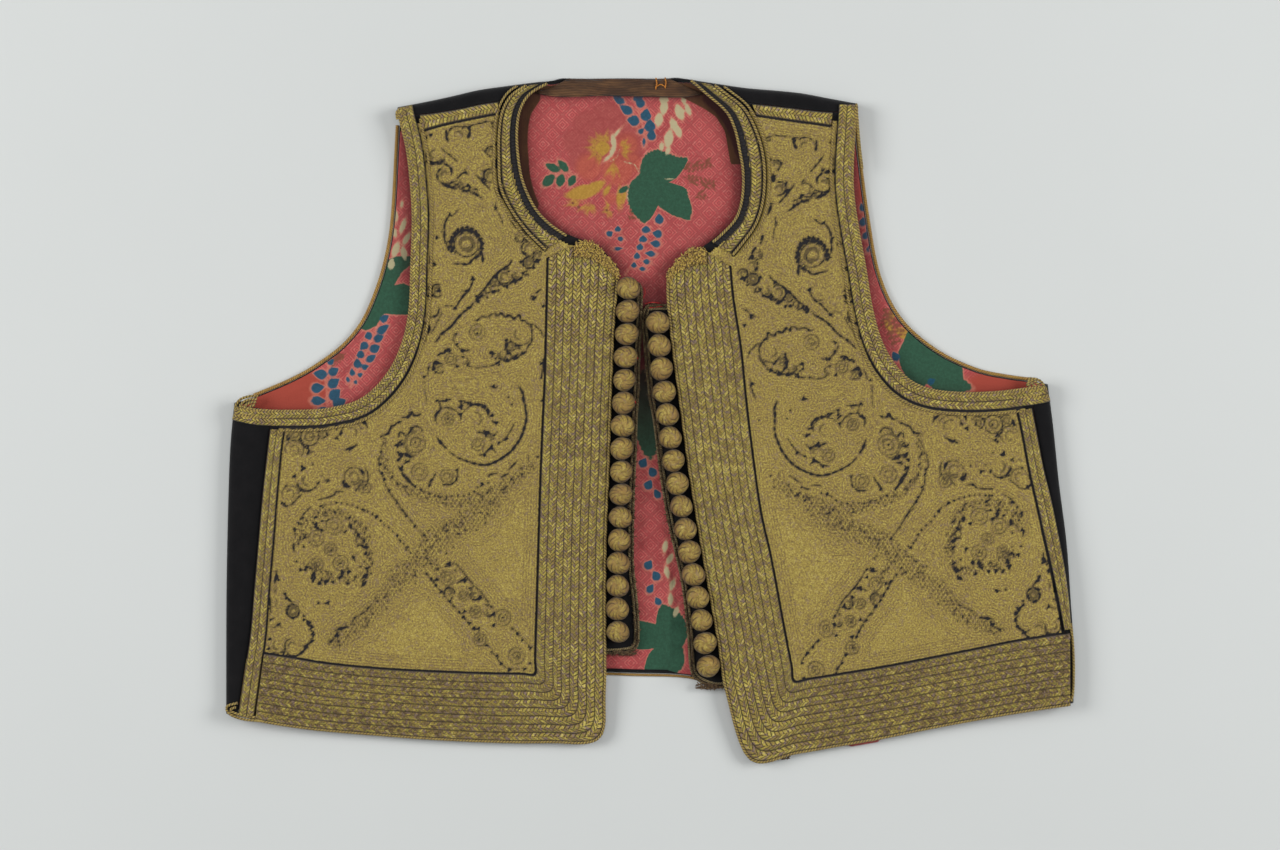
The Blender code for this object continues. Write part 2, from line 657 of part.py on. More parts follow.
def back_pattern():
    """The back with its side and shoulder flaps, flat and unfolded."""
    pieces = [curve(BACK_NECK, 5.0)]
    for side, armhole in ((RIGHT, RIGHT_BACK_ARMHOLE), (LEFT, LEFT_BACK_ARMHOLE)):
        seam = curve(side["shoulder"], SEAM_STEP)
        shoulder = [shoulder_flap_point(x, y + GAP) for x, y in seam]
        edge = beside(curve(armhole, 9.0), -side["toward_side"] * (PIPING + GAP))
        corner_x, corner_y = side["armhole_on_shoulder"][0]
        turn_y = shoulder_turn(corner_x)
        over_shoulder = [(corner_x, turn_y + HALF_TURN * k / FOLD_FACETS) for k in range(FOLD_FACETS, -1, -1)]
        seam = curve(side["side"], SEAM_STEP)
        flap = [side_flap_point(side, x + side["toward_side"] * GAP, y) for x, y in seam]
        around = curve([tuple(edge[-1]), flap[-1]], 4.0)
        if side is RIGHT:
            hem = beside(curve(BACK_HEM, 14.0), -(PIPING + GAP))
            pieces += [shoulder[::-1], over_shoulder, edge, around, flap[::-1], hem]
        else:
            pieces += [flap, around[::-1], edge[::-1], over_shoulder[::-1], shoulder]
    return joined(*pieces)


def front_outline(side, step):
    names = ("shoulder", "neckline", "centre", "hem", "side", "armhole")
    return joined(*[curve(side[name], step) for name in names])


def boss_rings(side):
    rings = []
    for x, y, radius in side["bosses"]:
        for share in (1.0, 0.72, 0.3):
            count = 12 if share > 0.5 else 6
            turns = [2 * math.pi * k / count for k in range(count + 1)]
            rings.append([(x + radius * share * math.cos(t), y + radius * share * math.sin(t)) for t in turns])
    return rings


def boss_rise(side, x, y):
    """How far the couched gold stands up over a point of the plan."""
    for boss_x, boss_y, radius in side["bosses"]:
        share = math.dist((x, y), (boss_x, boss_y)) / radius
        if share < 0.4:
            return BOSS_RISE * 0.45
        if share < 0.9:
            return BOSS_RISE
    return 0.0


def rows_under_border(side, outline):
    """Lines of the front's outer face along and across its border, so that the two lie together."""
    grid = across(side["border"], FRONT_SHARES, peak=side["border_peak"])
    rows = [[row[k] for row in grid] for k in range(len(grid[0]))] + grid
    within = inset(outline, 1.0)
    kept = [[point for point in row if is_inside(within, *point)] for row in rows]
    return [row for row in kept if len(row) > 1]


def build_back():
    outline = back_pattern()
    lines = fold_lines()
    wall(
        "back", outline, lambda x, y: laid(x, y, 0.0), lambda x, y: laid(x, y, WOOL),
        WOOL_BLACK, 0.9, lines, 34.0,
    )
    outer = WOOL + GAP
    wall(
        "back_lining", inset(outline, LINING_INSET), lambda x, y: laid(x, y, outer),
        lambda x, y: laid(x, y, outer + LINING), LINING_RED, 0.8, lines, 34.0,
    )
    depth = outer + LINING + GAP
    neck = [(x, y - LINING_INSET) for x, y in curve(BACK_NECK[3:8], 7.0)]
    facing = joined(curve(FACING_EDGE, 8.0), neck[::-1])
    wall(
        "neck_facing", facing, lambda x, y: laid(x, y, depth),
        lambda x, y: laid(x, y, depth + FACING), FACING_BROWN, 0.7, lines, 12.0,
    )


def build_piping():
    middle = PIPING / 2
    for side, rows in ((LEFT, LEFT_BACK_ARMHOLE), (RIGHT, RIGHT_BACK_ARMHOLE)):
        path = beside(curve(rows, 9.0), -side["toward_side"] * middle)[1:-1]
        tube("armhole_piping_" + side["name"], path, middle, 6, PIPING_ORANGE)
    path = beside(curve(BACK_HEM, 14.0), -middle)[2:-2]
    tube("hem_piping", path, middle, 6, PIPING_ORANGE)


def build_front(side):
    name = side["name"]

    def lifted(extra):
        return lambda x, y: (x, y, front_underside(side, x, y) + extra)

    def outer(x, y):
        return x, y, front_underside(side, x, y) + FRONT_STACK + boss_rise(side, x, y)

    def lining_inset(x, y):
        shows = side["lining_shows"]
        if shows and shows[0] < x < shows[1] and y < -150.0:
            return -1.1
        return LINING_INSET

    outline = front_outline(side, SEAM_STEP)
    wall(
        "front_" + name, outline, outer, lifted(LINING + GAP),
        GOLD_GROUND, 0.6, [], 28.0, boss_rings(side) + rows_under_border(side, outline), 15.0,
    )
    wall(
        "front_lining_" + name, inset(front_outline(side, 13.0), lining_inset), lifted(LINING), lifted(0.0),
        LINING_RED, 0.8, [], 28.0,
    )
    for kind, plaits, per_row, peak in BRAIDS:
        rows = armhole_rows(side) if kind == "armhole_braid" else side[kind]
        profile = ribs(plaits)
        grid = across(rows, profile, per_row, peak * side["border_peak"])
        band(kind + "_" + name, side, grid, profile)
    build_strip(side)


def armhole_rows(side):
    """Rows across the armhole braid, from the side fold up over the shoulder."""
    edge = np.vstack([
        side["armhole_on_side"][:0:-1], curve(side["armhole"], SEAM_STEP), side["armhole_on_shoulder"][-2::-1],
    ])
    into = side["toward_side"]
    return np.column_stack([beside(edge, into * BRAID_SET_IN), beside(edge, into * side["armhole_width"])])


def build_strip(side):
    low = WOOL + GAP + LINING + GAP
    outline = joined(curve(side["strip"], 9.0), curve(side["strip_under"], 20.0))
    wall(
        "button_strip_" + side["name"], outline, lambda x, y: (x, y, low + STRIP),
        lambda x, y: (x, y, low), WOOL_BLACK, 0.8, [], 30.0,
    )


def build_buttons(side):
    """Small balls wound with thread. Each stands on the strip, a little flat underneath."""
    low = WOOL + GAP + LINING + GAP + STRIP + GAP
    rings = ((0.5, 0.0), (0.96, 0.3), (0.97, 0.62), (0.6, 0.93))
    sides = 10
    places = evenly(spline(side["buttons"], 6), count=BUTTONS_A_SIDE)
    for number, (x, y) in enumerate(places, 1):
        points = []
        for share, height in rings:
            for k in range(sides):
                turn = 2 * math.pi * (k + 0.5) / sides
                radius = BUTTON_RADIUS * share
                out = (radius * math.cos(turn), radius * math.sin(turn))
                points.append((x + out[0], y + out[1], low + BUTTON_HEIGHT * height))
        points.append((x, y, low + BUTTON_HEIGHT))
        faces = [list(range(sides))[::-1]]
        for ring in range(len(rings) - 1):
            for k in range(sides):
                a, b = ring * sides + k, ring * sides + (k + 1) % sides
                faces.append([a, b, b + sides, a + sides])
        last = (len(rings) - 1) * sides
        faces += [[last + k, last + (k + 1) % sides, len(points) - 1] for k in range(sides)]
        mesh_object(f"button_{side['name']}_{number:02d}", points, faces, BUTTON_GOLD, 0.5)


def centre_on_origin():
    """Moves the whole vest so that its box stands on the table with the origin at its middle."""
    bpy.context.view_layer.update()
    corners = [obj.matrix_world @ Vector(corner) for obj in bpy.data.objects for corner in obj.bound_box]
    lows = [min(c[k] for c in corners) for k in range(3)]
    highs = [max(c[k] for c in corners) for k in range(3)]
    shift = Vector(((lows[0] + highs[0]) / 2, (lows[1] + highs[1]) / 2, lows[2]))
    for obj in bpy.data.objects:
        for vertex in obj.data.vertices:
            vertex.co -= shift


def main():
    clear_scene()
    build_back()
    build_piping()
    for side in (LEFT, RIGHT):
        build_front(side)
        build_buttons(side)
    centre_on_origin()


main()
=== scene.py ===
"""The looks of a folk vest laid flat: wool, couched gold, gold braid, a printed lining and thread balls."""

import math

import bmesh
import bpy
import numpy as np
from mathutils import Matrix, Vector
from mathutils.geometry import delaunay_2d_cdt


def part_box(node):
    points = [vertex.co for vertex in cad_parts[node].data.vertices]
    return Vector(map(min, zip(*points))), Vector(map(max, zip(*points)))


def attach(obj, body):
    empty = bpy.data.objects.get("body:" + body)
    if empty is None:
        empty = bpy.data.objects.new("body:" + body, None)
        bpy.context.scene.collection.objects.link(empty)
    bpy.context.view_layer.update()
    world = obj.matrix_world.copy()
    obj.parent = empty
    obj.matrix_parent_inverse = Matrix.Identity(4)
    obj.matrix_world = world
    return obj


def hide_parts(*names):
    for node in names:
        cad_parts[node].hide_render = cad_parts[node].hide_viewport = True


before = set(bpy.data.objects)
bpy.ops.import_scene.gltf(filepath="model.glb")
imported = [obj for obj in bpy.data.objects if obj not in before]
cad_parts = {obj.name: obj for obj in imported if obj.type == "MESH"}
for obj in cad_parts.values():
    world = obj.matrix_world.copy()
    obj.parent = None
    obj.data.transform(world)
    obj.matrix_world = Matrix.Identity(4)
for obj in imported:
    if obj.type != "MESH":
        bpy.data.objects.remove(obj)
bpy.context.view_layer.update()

bl_info = {
    "name": "Folk vest looks",
    "version": (1, 0, 0),
    "blender": (4, 5, 0),
    "location": "View3D > Sidebar > Vest",
    "description": "Dresses the packed vest in wool, couched gold, braid, printed lining and thread",
    "category": "Object",
}

MM = 0.001
# Thicknesses, heights and distances in millimetres
GAP = 0.3
WOOL = 1.5
LINING = 0.8
FRONT = 2.2
FACING = 0.6
STRIP = 1.0
FOLD_RADIUS = 4.5
FOLD_FACETS = 14
HALF_TURN = math.pi * FOLD_RADIUS
LINING_INSET = 2.0
PIPING = 1.6
BRAID_RISE = 1.6
BRAID_VALLEY = 0.9
BRAID_SET_IN = 0.2
BUTTONS_A_SIDE = 16
BUTTON_RADIUS = 5.9
BUTTON_HEIGHT = 11.5
BUTTON_FOOT = 0.38 * math.pi
BALL_ROUNDS, BALL_RINGS, BALL_WEDGES = 48, 26, 9
FOLD_CLEARANCE = 0.4
SEAM_HEIGHT = 2 * FOLD_RADIUS - FRONT - GAP - LINING
REST_HEIGHT = 3.15
ON_LINING = WOOL + GAP + LINING + GAP
STRIP_HEIGHT = ON_LINING + STRIP + GAP
WAVE = 0.5
SEAM_REACH = 62.0
STRIP_REACH = 26.0
STRIP_HOLD = 9.0
HEM_DROP = 2.2
HEM_REACH = 30.0
FRONT_STACK = LINING + GAP + FRONT
NECK_TURN = 14.0
NECK_FLAT = 188.5
FAINT = 0.1
STRAND_LEAN = 1.0
STRAND_PITCH = 2.05
HEM_TURN = (262.0, 290.0)
LATTICE = 7.6
NOT_PRINTED = -6.0
LOOP_SHARES = (1.0, 0.76, 0.52, 0.28)
FRAY = {"strands": 1, "pitch": 2.0, "sides": 6, "step": 0.6}
THREE_PLY = {"strands": 3, "pitch": 4.0, "sides": 12}

# The outline where the cloth turns over: x, y of the outermost points
LEFT_FOLD = [
    (-227, 22), (-228.4, 9), (-230.7, -16), (-231.9, -50), (-232.7, -90), (-232.9, -125), (-232.9, -170),
]
RIGHT_FOLD = [
    (216.8, 32), (218.3, 17), (221, -4), (224.3, -36), (228.4, -68), (230.8, -102), (232.9, -135),
    (231.2, -170),
]
# x, y of the outermost points of the shoulder folds
LEFT_SHOULDER_FOLD = [
    (-142, 170.5), (-124.6, 173.8), (-109, 177.1), (-94, 180.6), (-78.4, 182.8), (-63, 184.8),
    (-55, 185.4),
]
RIGHT_SHOULDER_FOLD = [
    (19.5, 186.6), (37, 183.9), (52.5, 181.6), (68, 180.3), (83.3, 178.7), (98.7, 175.8), (116, 172.6),
]
# x, y along the edges of the back, in its flat pattern
BACK_NECK = [
    (-66.6, 196.4), (-60, 193.4), (-54.7, 188.8), (-47, 187.4), (-36, 187), (-15, 187.2),
    (4, 187), (12, 187.6), (19, 189.6), (25, 194), (31.5, 197.7),
]
LEFT_BACK_ARMHOLE = [
    (-139.6, 165.4), (-140.5, 147), (-142.7, 109), (-146.6, 86.4), (-152.1, 68.8), (-159.2, 53.4),
    (-169.7, 40.7), (-184.5, 29.7), (-197.2, 22.6), (-209.8, 17.1), (-222, 12.2),
]
RIGHT_BACK_ARMHOLE = [
    (113.2, 167), (115.8, 142.5), (120.2, 110), (126.2, 79.2), (137.8, 55.6), (157, 38.5),
    (178.5, 28.1), (196, 24.2), (213, 22),
]
BACK_HEM = [
    (224, -156.6), (190, -155.2), (120, -151.5), (60, -148.6), (37, -146.8), (27, -144),
    (15, -142), (-9, -141.4), (-28, -141), (-60, -143.5), (-120, -150.5), (-180, -157.5),
    (-224, -161.2),
]
FACING_EDGE = [(-63.5, 179), (-50, 177), (-25, 177.4), (0, 177), (18, 176.6), (29, 178.6)]


def loops(middle, path):
    """A loop of cord and three more within it."""
    at_x, at_y = middle
    return [[(at_x + (x - at_x) * k, at_y + (y - at_y) * k) for x, y in path] for k in LOOP_SHARES]


LEFT = {
    "name": "left",
    "toward_side": -1,
    # x, y along each edge of the front
    "shoulder": [(-137.8, 165.6), (-117.4, 167.9), (-104.8, 170.1), (-92.1, 172.8), (-79.5, 174.6), (-66.6, 177)],
    "neckline": [
        (-66.6, 177), (-71.2, 169.4), (-72.9, 158.4), (-72.3, 144.7), (-69.6, 130.4), (-63.5, 116.6),
        (-55.8, 107.8), (-45.4, 101.2), (-36.6, 97.9), (-26.7, 93), (-17.3, 82.2),
    ],
    "centre": [
        (-17.3, 82.2), (-20.1, 56.7), (-21.5, 25.3), (-22.4, 0), (-23.5, -36), (-25, -72),
        (-25.2, -105), (-25, -140), (-26.5, -169),
    ],
    "hem": [
        (-29.5, -175.6), (-34, -177), (-78.4, -177.3), (-109.2, -176), (-140, -173.9),
        (-170.8, -171.5), (-201.6, -167.6), (-226.2, -162.8),
    ],
    "side": [
        (-226.2, -162.8), (-222.5, -139.2), (-219.2, -117.7), (-217, -92.4), (-214.8, -67.1),
        (-212.6, -41.8), (-209.8, -16.5), (-207.5, 4.6),
    ],
    "armhole": [
        (-207.5, 4.6), (-191, 4.6), (-176.8, 5.6), (-159.2, 10.5), (-145.5, 23.1), (-136.7, 39.6),
        (-132.3, 58.9), (-131.2, 83.6), (-130.4, 108.9), (-131.2, 126.5), (-133.4, 146.9), (-137.8, 165.6),
    ],
    # x, y of the armhole's edge where it goes on over the folds
    "armhole_on_side": [(-207.5, 4.6), (-216, 5.2), (-223.8, 6.8), (-225.4, 7.2), (-227, 7.7)],
    "armhole_on_shoulder": [(-138.7, 170.3), (-138.4, 169), (-138.1, 167.2), (-137.8, 165.6)],
    "armhole_width": 8.6,
    # neck_x, neck_y, field_x, field_y across the neck braids
    "neck_braid": [
        (-56, 183.8, -68.5, 182.6), (-65.7, 177.9, -76.6, 177), (-70.8, 169.4, -81.4, 168.4),
        (-72.6, 158.4, -83.2, 157), (-72, 144.7, -83.4, 143), (-69.3, 130.4, -82.6, 127.5),
        (-63.2, 116.8, -76.6, 114.4), (-55.6, 108, -68, 102.8), (-45.4, 100.9, -57.8, 92.4),
    ],
    # seam_x, seam_y, field_x, field_y across the shoulder braid
    "shoulder_braid": [
        (-126.4, 166.7, -124.6, 158), (-117.4, 167.7, -114.9, 160.9), (-104.8, 169.8, -101.6, 163.9),
        (-92.1, 172.5, -90, 166.2), (-83.4, 173.7, -83.6, 167.4),
    ],
    # seam_x, seam_y, field_x, field_y across the side braid
    "side_braid": [
        (-208.4, -5.6, -200.6, -5.9), (-209.8, -17, -202.3, -17), (-212.6, -42, -204.6, -42),
        (-214.8, -67, -206.6, -67), (-217, -92, -208.8, -92), (-219.2, -118, -210.8, -118),
        (-222.4, -139, -213.6, -138), (-225.8, -162.2, -217.2, -163.6),
    ],
    # edge_x, edge_y, field_x, field_y across the border, row by row down the front and along the hem
    "border": [
        (-17.8, 81.6, -56, 87.8), (-18.7, 70, -56.3, 70), (-20.3, 52, -56.8, 50),
        (-21.5, 25, -57.4, 25), (-22.4, 0, -58.5, 0), (-23.3, -30, -59.7, -29),
        (-24.6, -60, -60.7, -60), (-25.1, -92, -61.6, -92), (-25, -125, -62.4, -118),
        (-25.3, -150, -62.8, -131), (-28.6, -175.2, -63, -140.2), (-56, -177.2, -72, -140.1),
        (-86, -177, -92, -139.8), (-120, -175.4, -122, -138.7), (-150, -173.1, -150, -137.1),
        (-180, -170.5, -178, -134.3), (-202, -167.5, -197, -131), (-216.4, -164.9, -211.6, -128.8),
    ],
    "border_peak": 9.5,
    # x, y along the edge of the button strip that shows
    "strip": [
        (-24, 75), (-10, 75), (-5.2, 73), (-4.9, 62), (-6.1, 32), (-6.4, 18), (-7.4, 2),
        (-8.2, -22), (-9.2, -45), (-9.6, -78), (-7.4, -100), (-6.4, -117), (-8, -126),
        (-16, -128.4), (-30, -128.8),
    ],
    "strip_under": [(-33, -128.6), (-32.5, -60), (-31, 10), (-28, 74.8)],
    # x, y along the row of buttons
    "buttons": [
        (-12.2, 71.6), (-12.9, 48), (-14.2, 24), (-15.1, 0), (-16, -27), (-16.4, -51),
        (-17.6, -78), (-18.2, -104), (-17.8, -116.6),
    ],
    # cords that turn round the ends of the braids: x, y along each
    "loose_cords": [
        *loops(
            (-217, 5.6),
            [(-215, 12.6), (-220.5, 12.2), (-225.2, 10.2), (-227.4, 5.8), (-224, 1.6), (-206, 0.6)],
        ),
        [(-226, -155.5), (-231.2, -157), (-232.2, -159.4), (-229, -162.4), (-222, -164.6), (-212, -165.4)],
        [(-227, -157.8), (-229.6, -158.8), (-229.2, -160.4), (-222, -162.8), (-214, -163.6)],
        [(-138.6, 164), (-139, 167.6), (-137.2, 169.6), (-133.4, 169.6), (-131, 167)],
    ],
    "lining_shows": None,
    "seed": 3,
}

RIGHT = {
    "name": "right",
    "toward_side": 1,
    "shoulder": [
        (112.4, 166.6), (104.2, 167.8), (93.2, 168.6), (81.1, 170), (65.2, 171.8), (50, 173.8), (31.5, 176.8),
    ],
    "neckline": [
        (31.5, 176.8), (41, 168.3), (45.9, 158.4), (48.5, 146), (50.3, 134.8), (49.8, 121), (46.5, 110),
        (38.8, 102.3), (29.7, 95.2), (20, 89.2), (9.1, 80.6),
    ],
    "centre": [
        (9.1, 80.6), (9.4, 64.4), (12.2, 38), (17.3, 0), (22.8, -38), (29.5, -79), (36.6, -119),
        (39.8, -142), (45.5, -165), (52.4, -183.8),
    ],
    "hem": [
        (56, -186.9), (61, -186.6), (91, -181.3), (121.8, -176.4), (152.6, -169.8), (183.4, -163.9),
        (214.2, -158.4), (227, -156.2),
    ],
    "side": [
        (227, -156.2), (227.6, -130), (226, -104), (224.4, -80), (221.8, -60.5), (218.9, -44),
        (215.3, -26.4), (211.5, -6.1), (207.8, 17),
    ],
    "armhole": [
        (207.8, 17), (190.6, 14.9), (172.4, 14.3), (154.8, 16), (142.7, 20.9), (133.4, 30.3),
        (126.2, 43.5), (121.3, 61.1), (118, 81.4), (114.1, 102.9), (111.3, 122), (110.8, 138.6),
        (112.4, 166.6),
    ],
    "armhole_on_side": [(207.8, 17), (212.2, 17.7), (213.9, 18.1), (215.2, 18.4), (216.4, 18.8)],
    "armhole_on_shoulder": [(112.6, 172.1), (112.6, 171), (112.6, 169.8), (112.5, 168.4), (112.4, 166.6)],
    "armhole_width": 9.6,
    "neck_braid": [
        (21.5, 185.6, 35.6, 182.6), (30, 178, 42.6, 177.4), (40.8, 168.3, 51.4, 170.2),
        (45.6, 158.4, 57.4, 159.6), (48.2, 146.2, 61.4, 147.6), (50, 134.8, 62.9, 134),
        (49.5, 121.2, 61.8, 118.6), (46.2, 110.3, 57.8, 106.4), (38.8, 102, 50.8, 96.4),
        (33.4, 97.4, 45.4, 89.6),
    ],
    "shoulder_braid": [
        (99.8, 168, 98.6, 160.6), (92, 168.5, 90.8, 161.8), (81, 169.8, 80, 163.2),
        (65.2, 171.6, 66, 165.2), (55.6, 172.6, 58.2, 166.4),
    ],
    "side_braid": [
        (209, 5.9, 201.2, 4.2), (211.4, -6, 203.8, -7.8), (215.3, -26.4, 207.6, -28),
        (219.6, -44, 211.6, -45.6), (223, -60.5, 215.2, -62), (226.7, -80, 219.6, -81),
        (229.4, -99, 223.6, -100), (230.6, -115, 226.6, -115.6),
    ],
    "border": [
        (9.5, 79.9, 43.3, 83.2), (9.7, 64, 44.9, 66), (12.5, 38, 48.9, 40), (15.4, 16, 51.3, 17),
        (17.6, 0, 53.1, 0), (21.2, -27, 56.8, -29), (24.9, -50, 60.2, -52),
        (28.9, -74, 65.4, -75), (33.5, -100, 70.1, -100), (37.6, -124, 74, -121),
        (41.8, -150, 76.8, -135), (54.6, -186.4, 78.4, -144.1), (80, -183.2, 88, -142.8),
        (104, -179, 106, -140), (130, -174.4, 130, -136), (155, -169.2, 154, -131.4),
        (180, -164.5, 177, -126.8), (205, -160.1, 201, -121.9), (229.8, -156.4, 229.6, -117.4),
    ],
    "border_peak": 9,
    "strip": [
        (16, 62.4), (0, 62.4), (-3.2, 60.6), (-4.3, 52), (-3.4, 40), (-0.8, 13.2), (1.9, -2.2),
        (5.8, -33), (10.7, -60.5), (17, -88.6), (20.4, -116), (21.8, -136), (25.4, -143),
        (34, -147), (44, -147),
    ],
    "strip_under": [(47, -146.6), (42, -110), (33, -50), (25, 10), (19, 62)],
    "buttons": [
        (4, 52.8), (5.8, 28.6), (9, 3.9), (12, -19.8), (16.4, -45.1), (21.2, -72.6), (25.7, -97.4),
        (29.6, -121), (31.6, -135.3),
    ],
    "loose_cords": [
        *loops((205, 17.4), [(207, 22.2), (211, 21.8), (214.2, 20), (215.2, 16.2), (211, 12.4), (199, 11.4)]),
        [(230.2, -112), (231.4, -124), (231.8, -138), (231.4, -150), (230.2, -154.6)],
        [(112.8, 172.4), (113.2, 164), (114.4, 150), (116, 137)],
    ],
    "lining_shows": (106, 127),
    "seed": 8,
}

# kind of braid, plaits side by side
BRAIDS = (("border", 8), ("neck_braid", 1), ("shoulder_braid", 1), ("side_braid", 2), ("armhole_braid", 2))
# Where the plaits lie between the two edges of each braid, as shares of its width
PLAITED = {
    "border": (0.02, 1),
    "neck_braid": (0.40, 0.84),
    "shoulder_braid": (0.04, 0.98),
    "side_braid": (0.04, 0.98),
    "armhole_braid": (0.03, 0.985),
}

# The right front is the left one's mirror, turned and moved
RIGHT_TURN = math.radians(7.7)
RIGHT_MOVE = (1.1, -18.3)

